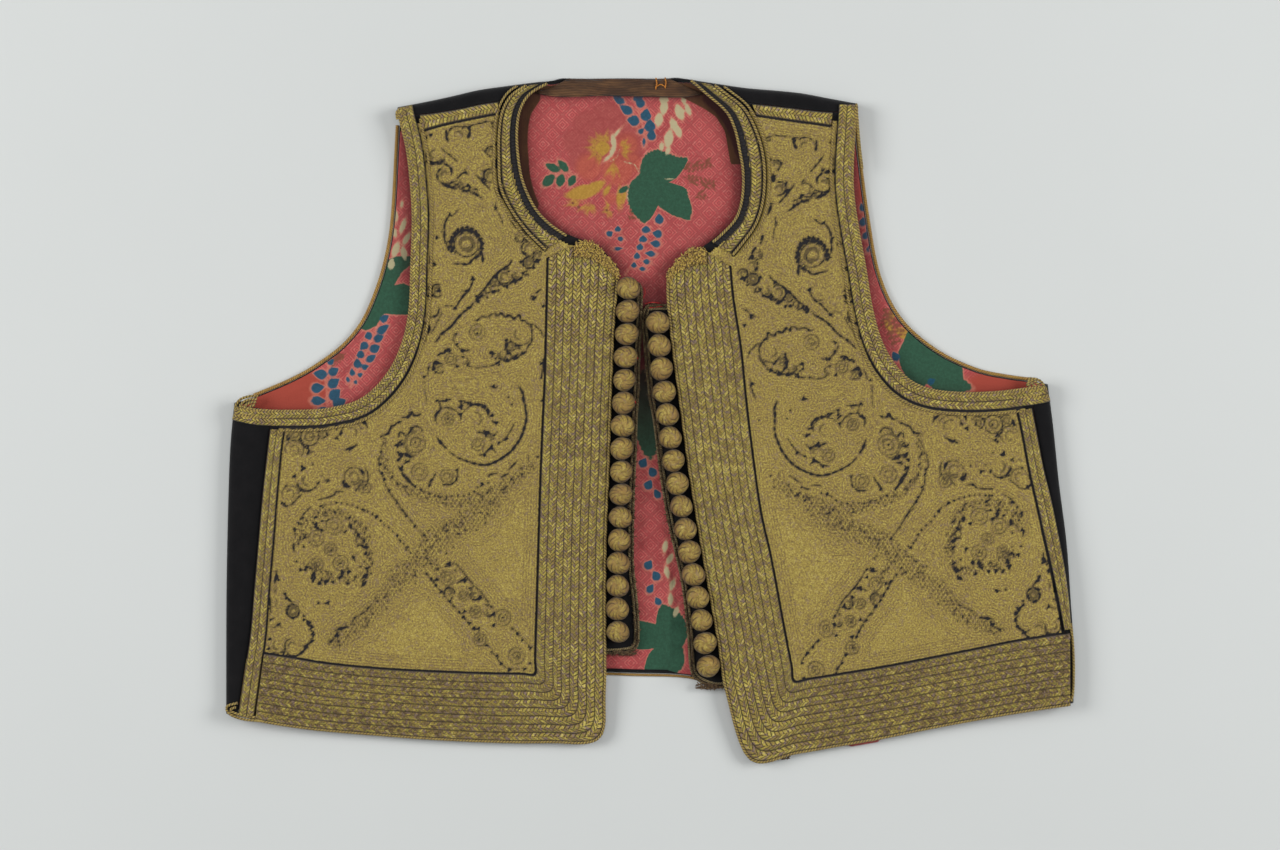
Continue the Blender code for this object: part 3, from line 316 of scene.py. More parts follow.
# Motifs of the couched field of the left front. Black corners between cords: x, y, size
CORNERS = (
    (-120.5, 155.5, 1.1), (-123, 154, 0.7), (-99.5, 159.5, 1.3), (-85, 150, 0.6), (-91, 147, 0.7),
    (-88, 144, 0.7), (-85, 140.5, 1.3), (-92, 136, 0.6), (-92, 131.5, 1.1), (-84, 126, 0.9), (-122, 141, 0.9),
    (-113.5, 141.5, 1.1), (-114, 129, 0.8), (-110.5, 127.5, 1.2), (-101, 135, 0.7), (-100, 128, 0.9),
    (-97, 124, 0.8), (-95, 123, 0.9), (-85, 115.5, 1.1), (-110, 112, 1), (-111, 93, 0.8), (-114, 103, 0.7),
    (-106, 114, 0.6), (-117, 99.5, 1), (-93, 94, 0.8), (-75, 108, 0.9), (-68.5, 98.5, 1.1), (-71, 103, 0.6),
    (-69, 91, 0.9), (-64, 91, 0.7), (-61.5, 87, 1.1), (-71, 86, 0.9), (-121, 86, 0.8), (-118, 85, 0.6),
    (-62.5, 86.5, 1.3), (-64, 83, 0.8), (-67, 79, 0.6), (-70, 80, 0.8), (-71, 77, 0.8), (-75, 75.5, 1.5),
    (-79, 72.5, 1.1), (-78, 81, 0.7), (-82.5, 74, 1), (-78.5, 83.5, 1.2), (-85, 78, 0.9), (-86, 70, 0.9),
    (-83, 70, 0.9), (-93, 68, 0.8), (-90, 67, 0.9), (-94.5, 66.5, 1.6), (-100, 61, 0.8), (-114.5, 47, 1),
    (-109, 51, 0.7), (-97.5, 77, 1.3), (-107, 61, 0.9), (-101, 70, 0.7), (-116, 70.5, 1.4), (-121, 67, 1.3),
    (-122.5, 49.5, 1.3), (-124, 44, 0.9), (-95, 54, 0.5), (-66, 51, 0.6), (-79, 43, 0.8), (-79, 38.5, 1.2),
    (-78, 36, 0.9), (-72, 39, 0.8), (-87, 36, 1.1), (-83.5, 30.5, 1.3), (-78.5, 32, 1.2), (-74, 33.5, 1.3),
    (-70, 36, 1.1), (-87, 34, 0.6), (-85, 33, 0.6), (-90, 29, 0.5), (-107, 46, 0.8), (-102.5, 37.5, 1),
    (-106, 41, 0.6), (-95, 47, 0.5), (-111, 37.5, 1.2), (-116, 35, 0.8), (-103, 34, 0.5), (-106, 29, 0.9),
    (-118, 31, 0.9), (-119, 27, 0.9), (-118, 25, 0.5), (-124, 23, 0.8), (-86, 18, 0.9), (-78, 12, 0.5),
    (-64, 66.5, 1.4), (-59, 62, 1), (-60, 30.5, 1), (-60, 22, 0.5), (-60, 10, 0.5), (-132, 3, 0.8),
    (-133, 1, 0.8), (-117, 10, 0.9), (-112, 10, 0.9), (-116.5, 3.5, 1), (-118, 2, 0.8), (-104, 2.5, 1),
    (-104, 6.5, 1.4), (-99, 8.5, 1.2), (-95, 8, 0.9), (-91, 7, 0.8), (-89, 4, 0.9), (-87, 2, 0.9),
    (-111, 0, 0.5), (-84.5, -2, 1), (-90, -7.5, 1.6), (-86, -9, 0.8), (-87.5, -16, 1.3), (-91, -20, 0.8),
    (-79, -11, 0.9), (-83, -13, 0.6), (-106, -28, 0.9), (-121, -36, 0.9), (-89, -31, 0.6), (-78, -30, 0.5),
    (-129, -13, 0.5), (-136.5, -20, 1), (-132, -20, 0.7), (-136.5, -27, 1.4), (-131, -5, 0.8), (-137, -12.5, 1),
    (-135, -31, 0.8), (-132, -34, 0.7), (-129, -37, 0.8), (-134, -53, 0.8), (-129, -59, 0.9), (-124, -64, 0.8),
    (-92.5, -36, 1), (-76, -33, 0.9), (-79, -37, 0.7), (-62, -21, 0.6), (-76, 8, 0.5), (-198.5, -11, 1),
    (-191, -6, 0.8), (-186, -10, 0.5), (-188, -16, 1), (-187, -18, 0.7), (-181, -6, 0.9), (-179, -10, 0.6),
    (-172, -4, 0.8), (-172, -10.5, 1.1), (-170, -8, 0.6), (-156.5, -2, 1.1), (-165.5, -16.5, 1),
    (-161, -14, 0.6), (-190.5, -27, 1.5), (-195, -31.5, 1.1), (-199, -32, 0.5), (-185, -25, 0.5),
    (-182, -35, 0.9), (-192, -39, 0.7), (-177, -34, 0.9), (-200.5, -47, 1), (-202, -46, 0.7), (-180, -31, 0.5),
    (-172, -30, 0.5), (-167, -36.5, 1.3), (-155, -31, 0.5), (-172, -40, 0.6), (-191, -54.5, 1),
    (-193, -57, 0.7), (-195, -60, 0.8), (-180, -48, 0.9), (-157, -50, 0.9), (-150.5, -53.5, 1),
    (-139, -64, 0.8), (-183.5, -57.5, 1), (-183, -59, 1.1), (-180, -61, 0.7), (-186, -60, 0.7),
    (-184, -54, 0.6), (-189.5, -63.5, 1), (-189.5, -65, 1), (-195, -69, 0.9), (-180, -56, 0.6),
    (-164.5, -59, 1.2), (-167.5, -62, 1), (-160, -64, 1), (-157, -67, 0.8), (-156.5, -70.5, 1),
    (-156, -74, 1.1), (-190, -70, 0.6), (-178, -51, 0.7), (-173, -51, 0.5), (-169, -52, 0.5), (-165, -54, 0.7),
    (-178, -53, 0.5), (-144, -8, 0.8), (-142, -4, 0.8), (-138, -2, 0.7), (-149, -22, 0.7), (-148, -25, 0.7),
    (-147, -30, 0.8), (-146, -33, 0.9), (-143, -39, 0.9), (-140, -44, 0.7), (-139, -46, 0.9), (-142, -42, 0.5),
    (-139, -14.5, 1.2), (-137.5, -19, 1.2), (-138, -22.5, 1), (-133.5, -20, 1.2), (-134, -23.5, 1),
    (-138, -8, 0.6), (-135, -37, 0.5), (-137, -67, 0.5), (-134, -71, 0.9), (-163, -76, 0.9), (-161, -74, 0.5),
    (-194, -78, 0.5), (-191.5, -82.5, 1), (-186, -82, 0.6), (-189, -83, 0.7), (-184.5, -85.5, 1.3),
    (-185, -88, 1.5), (-181.5, -90, 1.2), (-178, -89.5, 1.3), (-180, -88, 0.7), (-174, -89.5, 1),
    (-170.5, -87, 1), (-169, -84, 1.3), (-165.5, -84, 1.2), (-166, -90, 0.9), (-156, -86, 1.4),
    (-155.5, -82, 1), (-157, -90, 1.3), (-159, -81, 0.6), (-183, -80, 0.5), (-170, -79, 0.6), (-175, -72, 0.5),
    (-175, -85, 0.5), (-177, -101, 1), (-182, -101, 0.7), (-204.5, -87.5, 1.6), (-206, -93, 0.7),
    (-200.5, -96, 1), (-199.5, -98, 1), (-196, -102, 0.6), (-199, -103, 0.8), (-199, -105, 0.8),
    (-193, -106, 0.9), (-196, -109, 1), (-194, -108, 0.7), (-190, -108, 0.6), (-190, -110, 0.8),
    (-187.5, -111.5, 1.4), (-185.5, -114, 1.1), (-185, -117.5, 1.1), (-185.5, -121.5, 1.1),
    (-188.5, -124.5, 1.3), (-191, -128, 0.9), (-201, -128, 0.9), (-208.5, -120.5, 1), (-209, -126, 0.9),
    (-203.5, -112.5, 1), (-208, -110, 0.5), (-170, -115, 0.9), (-167, -114, 0.7), (-172, -118.5, 1.3),
    (-176, -122, 0.5), (-162, -109, 0.6), (-112, -74, 0.7), (-110.5, -79.5, 1.3), (-108, -79, 0.6),
    (-107, -83, 0.8), (-103, -84, 0.5), (-100, -88, 0.6), (-102.5, -88.5, 1.3), (-99, -93, 0.8),
    (-93.5, -98, 1.4), (-90, -102, 0.7), (-87, -103, 0.7), (-89, -100, 0.5), (-86, -107, 1.2), (-123, -85, 0.7),
    (-120, -88, 0.9), (-117, -88, 0.9), (-118, -91, 0.8), (-115, -94.5, 1), (-113, -97, 0.8), (-110, -100, 1),
    (-108, -103, 0.8), (-105, -106, 0.8), (-102, -105.5, 1), (-102.5, -109, 1), (-99.5, -112, 1.1),
    (-97, -115, 1.1), (-94.5, -115, 1.2), (-109, -98, 0.7), (-96, -106, 0.7), (-81, -109, 0.6),
    (-94, -121, 0.6), (-86, -113, 0.9), (-76, -115, 0.8), (-73, -118, 0.8), (-70, -121, 1), (-66, -125.5, 1),
    (-90, -124, 0.9), (-87, -128, 0.8), (-84, -130, 0.9), (-82, -134, 0.9), (-77.5, -137.5, 1),
    (-69, -137, 0.9), (-66, -134, 0.8), (-73, -130, 0.8),
)
# Round motifs: x, y, radius, start and end in degrees of their line, and its half width
ROUNDS = (
    (-105.7, 154.8, 5.5, 60, 170, 0.2), (-101.5, 158.5, 1.8, 60, 170, 0.2), (-86, 161.1, 1.3, 0, 360, 0.12),
    (-87.6, 146.7, 2.6, 60, 250, 0.3), (-87.8, 133.5, 3.7, 80, 280, 0.35), (-118.4, 145.1, 4.5, 150, 330, 0.25),
    (-112.8, 133.5, 4.2, 110, 250, 0.35), (-107, 128.4, 0.9, 0, 360, 0.15),
    (-102.8, 130.4, 3.4, 200, 330, 0.25), (-102, 124, 1.3, 0, 180, 0.15), (-105.5, 125.6, 1.3, 20, 160, 0.15),
    (-98.4, 125.1, 1.6, 30, 170, 0.2), (-96, 124.8, 1.3, 20, 160, 0.2), (-101, 95.6, 6.6, 0, 360, 0.2),
    (-101, 95.6, 8, -20, 215, 0.55), (-101, 95.1, 3.4, -80, 30, 0.2), (-71.8, 99.3, 2.5, 120, 330, 0.15),
    (-67, 93.5, 3.8, 100, 280, 0.25), (-62, 89.8, 2.5, 0, 270, 0.2), (-66.8, 85.7, 3.1, 0, 360, 0.35),
    (-68.4, 79.9, 1.2, 0, 360, 0.15), (-73.1, 79.1, 2.9, 180, 360, 0.3), (-80.2, 78.1, 3.9, 60, 330, 0.25),
    (-85.5, 74.9, 2.4, 0, 330, 0.2), (-89.1, 70.7, 1.6, 0, 360, 0.15), (-91.8, 68.6, 1.5, 0, 360, 0.15),
    (-92, 65.7, 1.6, 30, 200, 0.2), (-116.8, 70.5, 3.4, 60, 300, 0.3), (-71.5, 46.5, 6.1, 200, 330, 0.15),
    (-76.3, 39.9, 2.4, 0, 360, 0.12), (-81.5, 35.5, 2.6, 180, 360, 0.2), (-74.7, 36, 2.1, 150, 360, 0.2),
    (-94.9, 47.6, 4.2, 0, 360, 0.06), (-109.4, 32.8, 3.2, 0, 360, 0.08), (-102, 31.3, 2.4, -60, 60, 0.2),
    (-115.5, 27.8, 2.6, 60, 330, 0.15), (-111.1, -0.1, 6.5, 20, 200, 0.12), (-111.1, -0.1, 3.4, 0, 360, 0.06),
    (-96.2, 0.2, 7.3, 0, 150, 0.12), (-88.4, -11, 2.5, 0, 180, 0.12), (-94.6, -13.8, 3.4, 0, 360, 0.06),
    (-128.8, -13, 5.3, 0, 360, 0.06), (-126.6, -29, 4.5, 0, 360, 0.06), (-111.7, -31.2, 3.6, 0, 360, 0.06),
    (-194.6, -8.6, 3.4, 0, 360, 0.15), (-186.8, -9.7, 4.9, 0, 360, 0.2), (-195.2, -17, 5.1, -40, 200, 0.08),
    (-178.4, -8, 3.4, 30, 260, 0.15), (-163.8, -7.5, 5.6, 20, 180, 0.12), (-187.9, -33.8, 5.6, 190, 330, 0.3),
    (-197.4, -41.1, 4.5, 0, 200, 0.08), (-162.6, -31.9, 5.3, -60, 240, 0.12),
    (-162.6, -31.9, 7.9, -50, 40, 0.2), (-156.7, -37.5, 3.4, 0, 360, 0.06), (-173.3, -58.5, 4.5, 0, 360, 0.06),
    (-161.2, -63.3, 1.4, 0, 360, 0.12), (-159.6, -66.7, 2, 0, 360, 0.08), (-183.1, -65.3, 4.2, 0, 360, 0.06),
    (-128.4, -13.3, 6.7, 90, 270, 0.08), (-182.8, -79.6, 3.4, 0, 360, 0.06), (-169.7, -79, 4.2, 0, 360, 0.06),
    (-175.5, -71.4, 3.4, 0, 360, 0.06), (-195.8, -105.4, 3.5, 0, 360, 0.35),
    (-204.7, -123.9, 4.5, 180, 360, 0.12), (-196.3, -124.5, 4.2, 100, 250, 0.12),
    (-96.1, -96.6, 2.8, 120, 300, 0.25), (-88.5, -105.5, 2.8, 200, 330, 0.2),
    (-110.3, -95.1, 2.7, -30, 200, 0.3), (-102.4, -96.9, 2.8, 0, 360, 0.08), (-111.3, -87.2, 3.8, 0, 360, 0.06),
    (-95.8, -105.8, 3.2, 0, 360, 0.08), (-81, -108.9, 4.4, 0, 360, 0.06), (-93.6, -120.9, 3.5, 0, 360, 0.08),
    (-73.4, -129.8, 4.4, 0, 360, 0.06), (-73.4, -129.8, 2.2, 0, 360, 0.06),
)
# Black lines between cords: half width, then x, y along them
BLACK_LINES = (
    (0.45, [(-112, 158), (-112, 155), (-111, 152)]), (0.6, [(-99, 159), (-99, 157), (-100, 154)]),
    (0.2, [(-98, 161), (-93, 162), (-89, 163), (-85, 162)]), (0.8, [(-85, 142), (-85, 138)]),
    (0.35, [(-96, 134), (-93, 131), (-90, 128), (-88, 126)]), (0.5, [(-84, 126), (-83, 124), (-81, 121)]),
    (0.25, [(-115, 149), (-112, 146), (-108, 143), (-106, 141)]),
    (0.5, [(-122, 141), (-120, 140), (-117, 140), (-114, 140)]),
    (0.45, [(-113, 140), (-110, 138), (-109, 136), (-109, 134)]),
    (0.3, [(-115, 129), (-111, 129), (-108, 130), (-106, 131)]),
    (0.5, [(-113, 128), (-109, 127), (-107, 126)]),
    (0.25, [(-106, 132), (-104, 134), (-102, 135), (-100, 134)]), (0.25, [(-102, 137), (-101, 136)]),
    (0.35, [(-105, 127), (-104, 126), (-100, 125), (-99, 128)]),
    (0.35, [(-100, 125), (-97, 124), (-94, 122), (-92, 121)]), (0.15, [(-85, 119), (-85, 116)]),
    (0.15, [(-84, 114), (-82, 110), (-81, 107)]),
    (0.35, [(-110, 112), (-112, 109), (-113, 106), (-113, 103), (-113, 99), (-112, 96), (-110, 93)]),
    (0.15, [(-109, 111), (-107, 113), (-105, 115)]),
    (0.35, [(-108, 85), (-104, 85), (-100, 85), (-97, 88), (-95, 90), (-93, 92)]),
    (0.5, [(-93, 92), (-92, 89), (-92, 86)]), (0.35, [(-96, 87), (-95, 89), (-93, 90)]),
    (0.4, [(-76, 110), (-75, 107), (-74, 105)]), (0.3, [(-71, 103), (-69, 101), (-68, 99), (-66, 97)]),
    (0.2, [(-121, 88), (-120, 86), (-118, 85)]),
    (0.2, [(-121, 89), (-120, 86), (-118, 85), (-119, 84), (-121, 83)]),
    (0.3, [(-71, 77), (-73, 76), (-76, 75), (-79, 73)]),
    (0.4, [(-76, 87), (-78, 84), (-80, 83), (-84, 80), (-86, 78), (-89, 74), (-92, 70), (-95, 67)]),
    (0.3, [(-82, 74), (-79, 72)]), (0.3, [(-87, 69), (-85, 70), (-83, 71)]), (0.6, [(-96, 66), (-94, 64)]),
    (0.4, [(-97, 64), (-99, 61), (-102, 59), (-106, 55), (-109, 51), (-114, 47), (-118, 42)]),
    (0.35, [(-97, 77), (-98, 74), (-100, 70), (-103, 67), (-107, 61), (-108, 60)]),
    (0.15, [(-104, 70), (-102, 70)]), (0.15, [(-113, 62), (-109, 62), (-107, 61)]),
    (0.4, [(-121, 74), (-121, 69), (-121, 67)]), (0.2, [(-119, 67), (-116, 67), (-115, 68)]),
    (0.3, [(-116, 62), (-116, 60), (-117, 57), (-120, 56), (-122, 57)]),
    (0.9, [(-123, 53), (-122, 50), (-122, 47)]), (0.12, [(-114, 59), (-117, 53), (-120, 47)]),
    (0.2, [(-97, 54), (-95, 54), (-93, 56), (-90, 56), (-88, 56)]),
    (0.35, [
        (-89, 56), (-88, 57), (-85, 58), (-84, 56), (-82, 58), (-80, 56), (-77, 57), (-75, 55), (-72, 57),
        (-71, 54), (-69, 54), (-67, 52), (-64, 52),
    ]),
    (0.2, [(-64, 52), (-62, 50), (-60, 48), (-59, 45)]),
    (0.25, [(-65, 51), (-65, 48), (-65, 43), (-67, 40), (-68, 38)]),
    (0.45, [(-79, 44), (-79, 41), (-79, 38), (-78, 36)]), (0.2, [(-75, 42), (-73, 40), (-72, 39)]),
    (0.3, [(-88, 37), (-85, 36)]),
    (0.3, [(-88, 29), (-85, 30), (-82, 32), (-79, 32), (-76, 33), (-74, 33), (-70, 36), (-68, 37)]),
    (0.15, [(-100, 29), (-95, 28), (-90, 29), (-88, 29)]), (0.2, [(-108, 46), (-106, 47)]),
    (0.15, [(-108, 45), (-108, 43), (-107, 41)]), (0.3, [(-107, 41), (-104, 38), (-103, 37), (-99, 38)]),
    (0.4, [(-113, 36), (-112, 38), (-109, 38)]), (0.4, [(-116, 35), (-115, 36), (-113, 36)]),
    (0.25, [(-104, 34), (-102, 34)]), (0.25, [(-100, 29), (-100, 31)]),
    (0.6, [(-119, 27), (-119, 29), (-118, 31), (-114, 30)]), (0.25, [(-121, 30), (-122, 27), (-122, 24)]),
    (0.08, [(-124, 21), (-124, 17), (-123, 12), (-123, 8)]), (0.25, [(-88, 18), (-85, 17), (-84, 18)]),
    (0.4, [(-72, 17), (-70, 14), (-70, 11), (-69, 8)]), (0.3, [(-66, 66), (-63, 65)]),
    (0.25, [(-63, 69), (-60, 71)]), (0.3, [(-59, 33), (-59, 28), (-60, 22)]),
    (0.35, [(-136, 1), (-133, 1), (-131, 4), (-130, 2), (-127, 2), (-127, 3)]),
    (0.15, [(-138, -2), (-136, -1)]), (0.25, [(-118, 10), (-117, 10), (-113, 10), (-109, 11)]),
    (0.3, [(-116, 9), (-115, 6), (-116, 4), (-118, 2), (-118, -1)]),
    (0.15, [(-111, 5), (-108, 5), (-106, 4), (-104, 2)]), (0.3, [(-104, 2), (-104, 0)]),
    (0.35, [(-105, 10), (-102, 10)]), (0.35, [(-104, 10), (-104, 7)]),
    (0.35, [(-102, 9), (-99, 9), (-97, 8), (-94, 8), (-91, 7), (-89, 5), (-88, 2), (-86, 2)]),
    (0.3, [(-87, -1), (-84, -3)]), (0.3, [(-95, -7), (-91, -8), (-88, -8), (-86, -9)]),
    (0.2, [(-86, -9), (-84, -7)]), (0.3, [(-87, -14), (-87, -16), (-89, -17), (-91, -19), (-94, -20)]),
    (0.25, [(-87, -16), (-85, -18)]), (0.2, [(-75, -3), (-77, -7), (-79, -10), (-81, -12), (-84, -14)]),
    (0.45, [
        (-72, 18), (-70, 14), (-69, 8), (-68, 1), (-69, -4), (-71, -10), (-75, -16), (-78, -19), (-84, -23),
        (-89, -25), (-94, -25), (-101, -23), (-106, -21), (-110, -18),
    ]),
    (0.5, [(-112, -16), (-115, -13), (-117, -10)]),
    (0.3, [(-106, -28), (-106, -32), (-107, -34), (-110, -36), (-114, -36)]),
    (0.3, [(-118, -30), (-119, -32), (-121, -35), (-122, -37)]),
    (0.25, [(-73, -23), (-75, -25), (-78, -28)]), (0.25, [(-89, -31), (-86, -30), (-84, -30)]),
    (0.3, [(-82, -32), (-78, -30)]), (0.3, [(-138, -20), (-134, -19), (-132, -21), (-130, -21)]),
    (0.4, [(-135, -24), (-132, -23)]), (0.25, [(-132, -7), (-131, -5), (-128, -4), (-126, -5), (-125, -7)]),
    (0.35, [(-138, -26), (-136, -30), (-133, -34), (-129, -37)]),
    (0.08, [(-138, -49), (-134, -53), (-129, -59), (-123, -65)]), (0.08, [(-67, -20), (-67, -23)]),
    (0.3, [(-199, -9), (-199, -11), (-200, -12)]), (0.25, [(-192, -12), (-190, -15), (-187, -16)]),
    (0.25, [(-188, -20), (-188, -19), (-185, -18)]), (0.25, [(-179, -10), (-177, -9), (-178, -7)]),
    (0.45, [(-172, -4), (-172, -6)]), (0.3, [(-170, -9), (-169, -7)]),
    (0.5, [(-159, -1), (-157, -2), (-156, -3)]), (0.2, [(-156, -3), (-155, -5)]),
    (0.4, [(-167, -17), (-164, -16), (-161, -14)]), (0.3, [(-191, -25), (-190, -28)]),
    (0.3, [(-194, -36), (-191, -39), (-188, -40)]), (0.2, [(-179, -34), (-176, -33)]),
    (0.3, [(-200, -37), (-199, -36)]), (0.2, [(-191, -41), (-194, -44), (-197, -47), (-201, -48)]),
    (0.5, [(-160, -27), (-158, -29), (-157, -31)]), (0.45, [(-169, -34), (-167, -37), (-165, -37)]),
    (0.2, [(-158, -35), (-160, -37), (-162, -40)]),
    (0.25, [(-182, -44), (-181, -44), (-177, -43), (-174, -42), (-172, -40), (-168, -40)]),
    (0.2, [(-192, -55), (-190, -52), (-188, -50), (-186, -48)]), (0.3, [(-195, -60), (-195, -62)]),
    (0.4, [(-183, -57), (-183, -60), (-179, -61)]), (0.2, [(-190, -65), (-192, -66), (-193, -69)]),
    (0.3, [(-196, -69), (-195, -73)]), (0.2, [(-180, -56), (-178, -56), (-176, -55)]),
    (0.3, [(-165, -57), (-164, -60), (-162, -60)]), (0.3, [(-162, -60), (-160, -64), (-157, -67)]),
    (0.35, [(-161, -70), (-159, -69), (-156, -71)]),
    (0.3, [(-148, -10), (-147, -9), (-144, -8), (-142, -4), (-141, -4), (-139, -2)]),
    (0.3, [(-136, 1), (-133, 1), (-131, 3), (-130, 2), (-127, 2), (-126, 3)]),
    (0.15, [
        (-147, -14), (-148, -19), (-149, -24), (-149, -28), (-147, -31), (-146, -34), (-144, -39),
        (-141, -43), (-139, -46), (-134, -52), (-129, -59),
    ]),
    (0.35, [(-137, -13), (-136, -14), (-139, -15)]), (0.35, [(-139, -18), (-137, -21), (-139, -23)]),
    (0.35, [(-135, -20), (-130, -21)]), (0.3, [(-135, -30), (-132, -34), (-130, -37)]),
    (0.25, [(-138, -10), (-137, -7), (-134, -9), (-131, -6), (-129, -4)]),
    (0.3, [(-163, -75), (-162, -78)]), (0.2, [(-192, -82), (-192, -83)]),
    (0.4, [(-189, -83), (-189, -82), (-188, -81), (-186, -82)]),
    (0.5, [(-184, -83), (-185, -86), (-186, -87)]), (0.3, [(-182, -89), (-181, -91)]),
    (0.4, [(-171, -87), (-169, -86), (-169, -83)]), (0.35, [(-166, -82), (-165, -84)]),
    (0.4, [(-158, -87), (-156, -86), (-155, -83)]), (0.35, [(-159, -92), (-156, -90)]),
    (0.25, [(-179, -101), (-177, -101), (-176, -100)]), (0.5, [(-205, -83), (-205, -86), (-206, -90)]),
    (0.2, [(-205, -93), (-206, -95)]), (0.3, [(-201, -95), (-199, -98), (-196, -101)]),
    (0.5, [(-188, -111), (-187, -113), (-185, -114)]),
    (0.4, [
        (-187, -115), (-185, -117), (-185, -119), (-186, -122), (-188, -124), (-191, -128), (-195, -130),
        (-199, -129),
    ]),
    (0.2, [(-192, -124), (-189, -125)]), (0.25, [(-200, -123), (-200, -126), (-201, -128), (-203, -128)]),
    (0.15, [(-208, -114), (-206, -114), (-204, -113), (-202, -114)]), (0.15, [(-208, -98), (-208, -106)]),
    (0.12, [(-205, -99), (-205, -103)]), (0.15, [(-208, -110), (-206, -109)]),
    (0.5, [(-173, -116), (-170, -115), (-166, -114)]), (0.3, [(-171, -117), (-173, -120)]),
    (0.3, [(-176, -123), (-174, -121), (-173, -120)]),
    (0.12, [(-164, -113), (-162, -109), (-157, -106), (-153, -102)]), (0.3, [(-113, -81), (-109, -80)]),
    (0.3, [(-106, -90), (-102, -88), (-101, -89)]),
    (0.2, [(-107, -79), (-102, -85), (-97, -91), (-92, -96), (-89, -101), (-86, -104)]),
    (0.3, [(-97, -99), (-94, -99), (-93, -98)]), (0.2, [(-97, -91), (-99, -94)]),
    (0.3, [(-121, -87), (-119, -89)]), (0.25, [(-119, -89), (-117, -88)]),
    (0.12, [(-123, -84), (-118, -91), (-110, -100), (-102, -109), (-97, -115)]),
    (0.2, [(-87, -113), (-85, -114)]), (0.12, [(-76, -114), (-66, -125)]),
    (0.12, [(-89, -124), (-82, -134), (-77, -137), (-69, -137)]),
)
# Rows of small black marks: size of a mark, space between marks, then x, y along them
PICOTS = (
    (0.9, 2.6, [
        (-93, 91), (-92, 96), (-93, 99), (-96, 103), (-100, 105), (-105, 104), (-108, 101), (-110, 97),
        (-109, 92),
    ]),
    (0.5, 3.2, [
        (-124, -40), (-118, -42), (-113, -43), (-107, -42), (-102, -42), (-97, -40), (-93, -36), (-89, -35),
    ]),
    (0.5, 3, [
        (-181, -48), (-173, -46), (-165, -47), (-162, -48), (-157, -50), (-151, -53), (-145, -59),
        (-143, -60), (-139, -64), (-137, -67), (-133, -70),
    ]),
)
# Bands of small loose loops: half width, then x, y along them
LOOPS = (
    (3.5, [(-128, -41), (-115, -44), (-103, -46), (-90, -41), (-77, -35), (-66, -26)]),
    (4.5, [(-123, -65), (-106, -57), (-96, -50), (-82, -41)]),
    (5.5, [(-138, -89), (-128, -80), (-119, -70), (-109, -62), (-100, -57), (-87, -49)]),
    (3, [(-126, -71), (-119, -80), (-114, -85)]),
    (5, [(-173, -122), (-159, -112), (-145, -96), (-133, -81), (-124, -72)]),
    (2.5, [(-188, -80), (-173, -87), (-156, -85), (-155, -67)]),
    (2.5, [(-194, -65), (-184, -53), (-169, -52), (-158, -60), (-155, -74)]),
    (2, [(-146, -12), (-145, -26), (-139, -35), (-131, -41)]),
)

# The print of the lining. x, y, length, width and direction in degrees of each leaf or petal
BLUE_LEAVES = (
    (116.2, 116.4, 5, 3.4, 100), (116.6, 108.4, 5.6, 4, 80), (118.4, 101.2, 5.4, 3.6, 60),
    (120.2, 93.8, 4.6, 2.8, 70), (154.4, 20.8, 4.6, 3.6, 30), (134.5, 34.5, 6, 4.5, 120),
    (-17.9, 178.2, 6, 5, 20), (-17.3, 174.9, 6, 4, 160), (-6.3, 177.1, 7, 5, 40), (-5.8, 173.8, 6, 5, 120),
    (-13.5, 170, 8, 5, 150), (-2.5, 167.2, 7, 6, 80), (-9.6, 163.9, 7, 6, 170), (-0.3, 161.2, 7, 6, 90),
    (0.6, 156, 6, 5, 80), (-5, 158.2, 4, 3, 40), (-3.6, 152.6, 5, 2, 90), (-2.5, 104.2, 4.2, 5, 90),
    (-4.1, 99, 4, 4.6, 90), (-5.8, 94.6, 4, 4, 90), (-7.4, 89.7, 4, 3.6, 90), (-9.1, 84.7, 3.4, 3.2, 90),
    (3.6, 101.8, 5.6, 4.6, 170), (2.5, 96.3, 6, 4, 170), (-0.3, 90.8, 6, 3.4, 170), (-2.5, 86.4, 4.6, 3, 170),
    (-4.7, 82.5, 4, 2.6, 170), (4.8, 110, 6, 5, 90), (-17.9, 104.5, 3.6, 3.6, 90), (-22.3, 101.8, 3.8, 3.8, 30),
    (-16.8, 99, 3.8, 3, 170), (-17.6, 93.5, 5, 2.2, 5), (-146, 55.4, 6, 4, 35), (-146.8, 49.5, 8, 4.4, 35),
    (-149.2, 44.4, 6.4, 4.4, 30), (-151.2, 38.8, 6.4, 5, 25), (-153.5, 33.3, 6.4, 4, 30),
    (-156.7, 28.6, 4.6, 3.2, 20), (-159.4, 24.2, 3.4, 2.8, 20), (-162, 20.3, 2.6, 2.4, 70),
    (-155.1, 45.6, 4.6, 4.6, 200), (-157.5, 40, 5.4, 4.6, 220), (-159.4, 35.3, 4.8, 4.4, 200),
    (-161, 30.6, 5.6, 4.6, 100), (-163.9, 25.8, 4.4, 3, 100), (-166.3, 21.9, 4, 2.2, 105),
    (-181.5, 24.6, 8, 5.6, 170), (-182.7, 17.1, 7.4, 5.6, 10), (-182.3, 10, 8.6, 5, 0), (-179.6, 5.7, 6, 2, 0),
    (-175.6, 31.7, 4.4, 3.8, 40), (-173.9, 26.2, 6.4, 5, 30), (-173.9, 19.9, 7.4, 5.6, 35),
    (-173.2, 13.6, 8, 6, 45), (-170.9, 8.9, 8, 6.4, 25), (-4, -24, 6, 5, 60), (1, -29, 6, 5, 120),
    (-1, -36, 6, 5, 60), (3.6, -41, 6, 4, 120), (-1, -80, 6, 5, 60), (3, -86, 6, 5, 120), (0, -93, 6, 4, 60),
    (4, -100, 5, 4, 120),
)
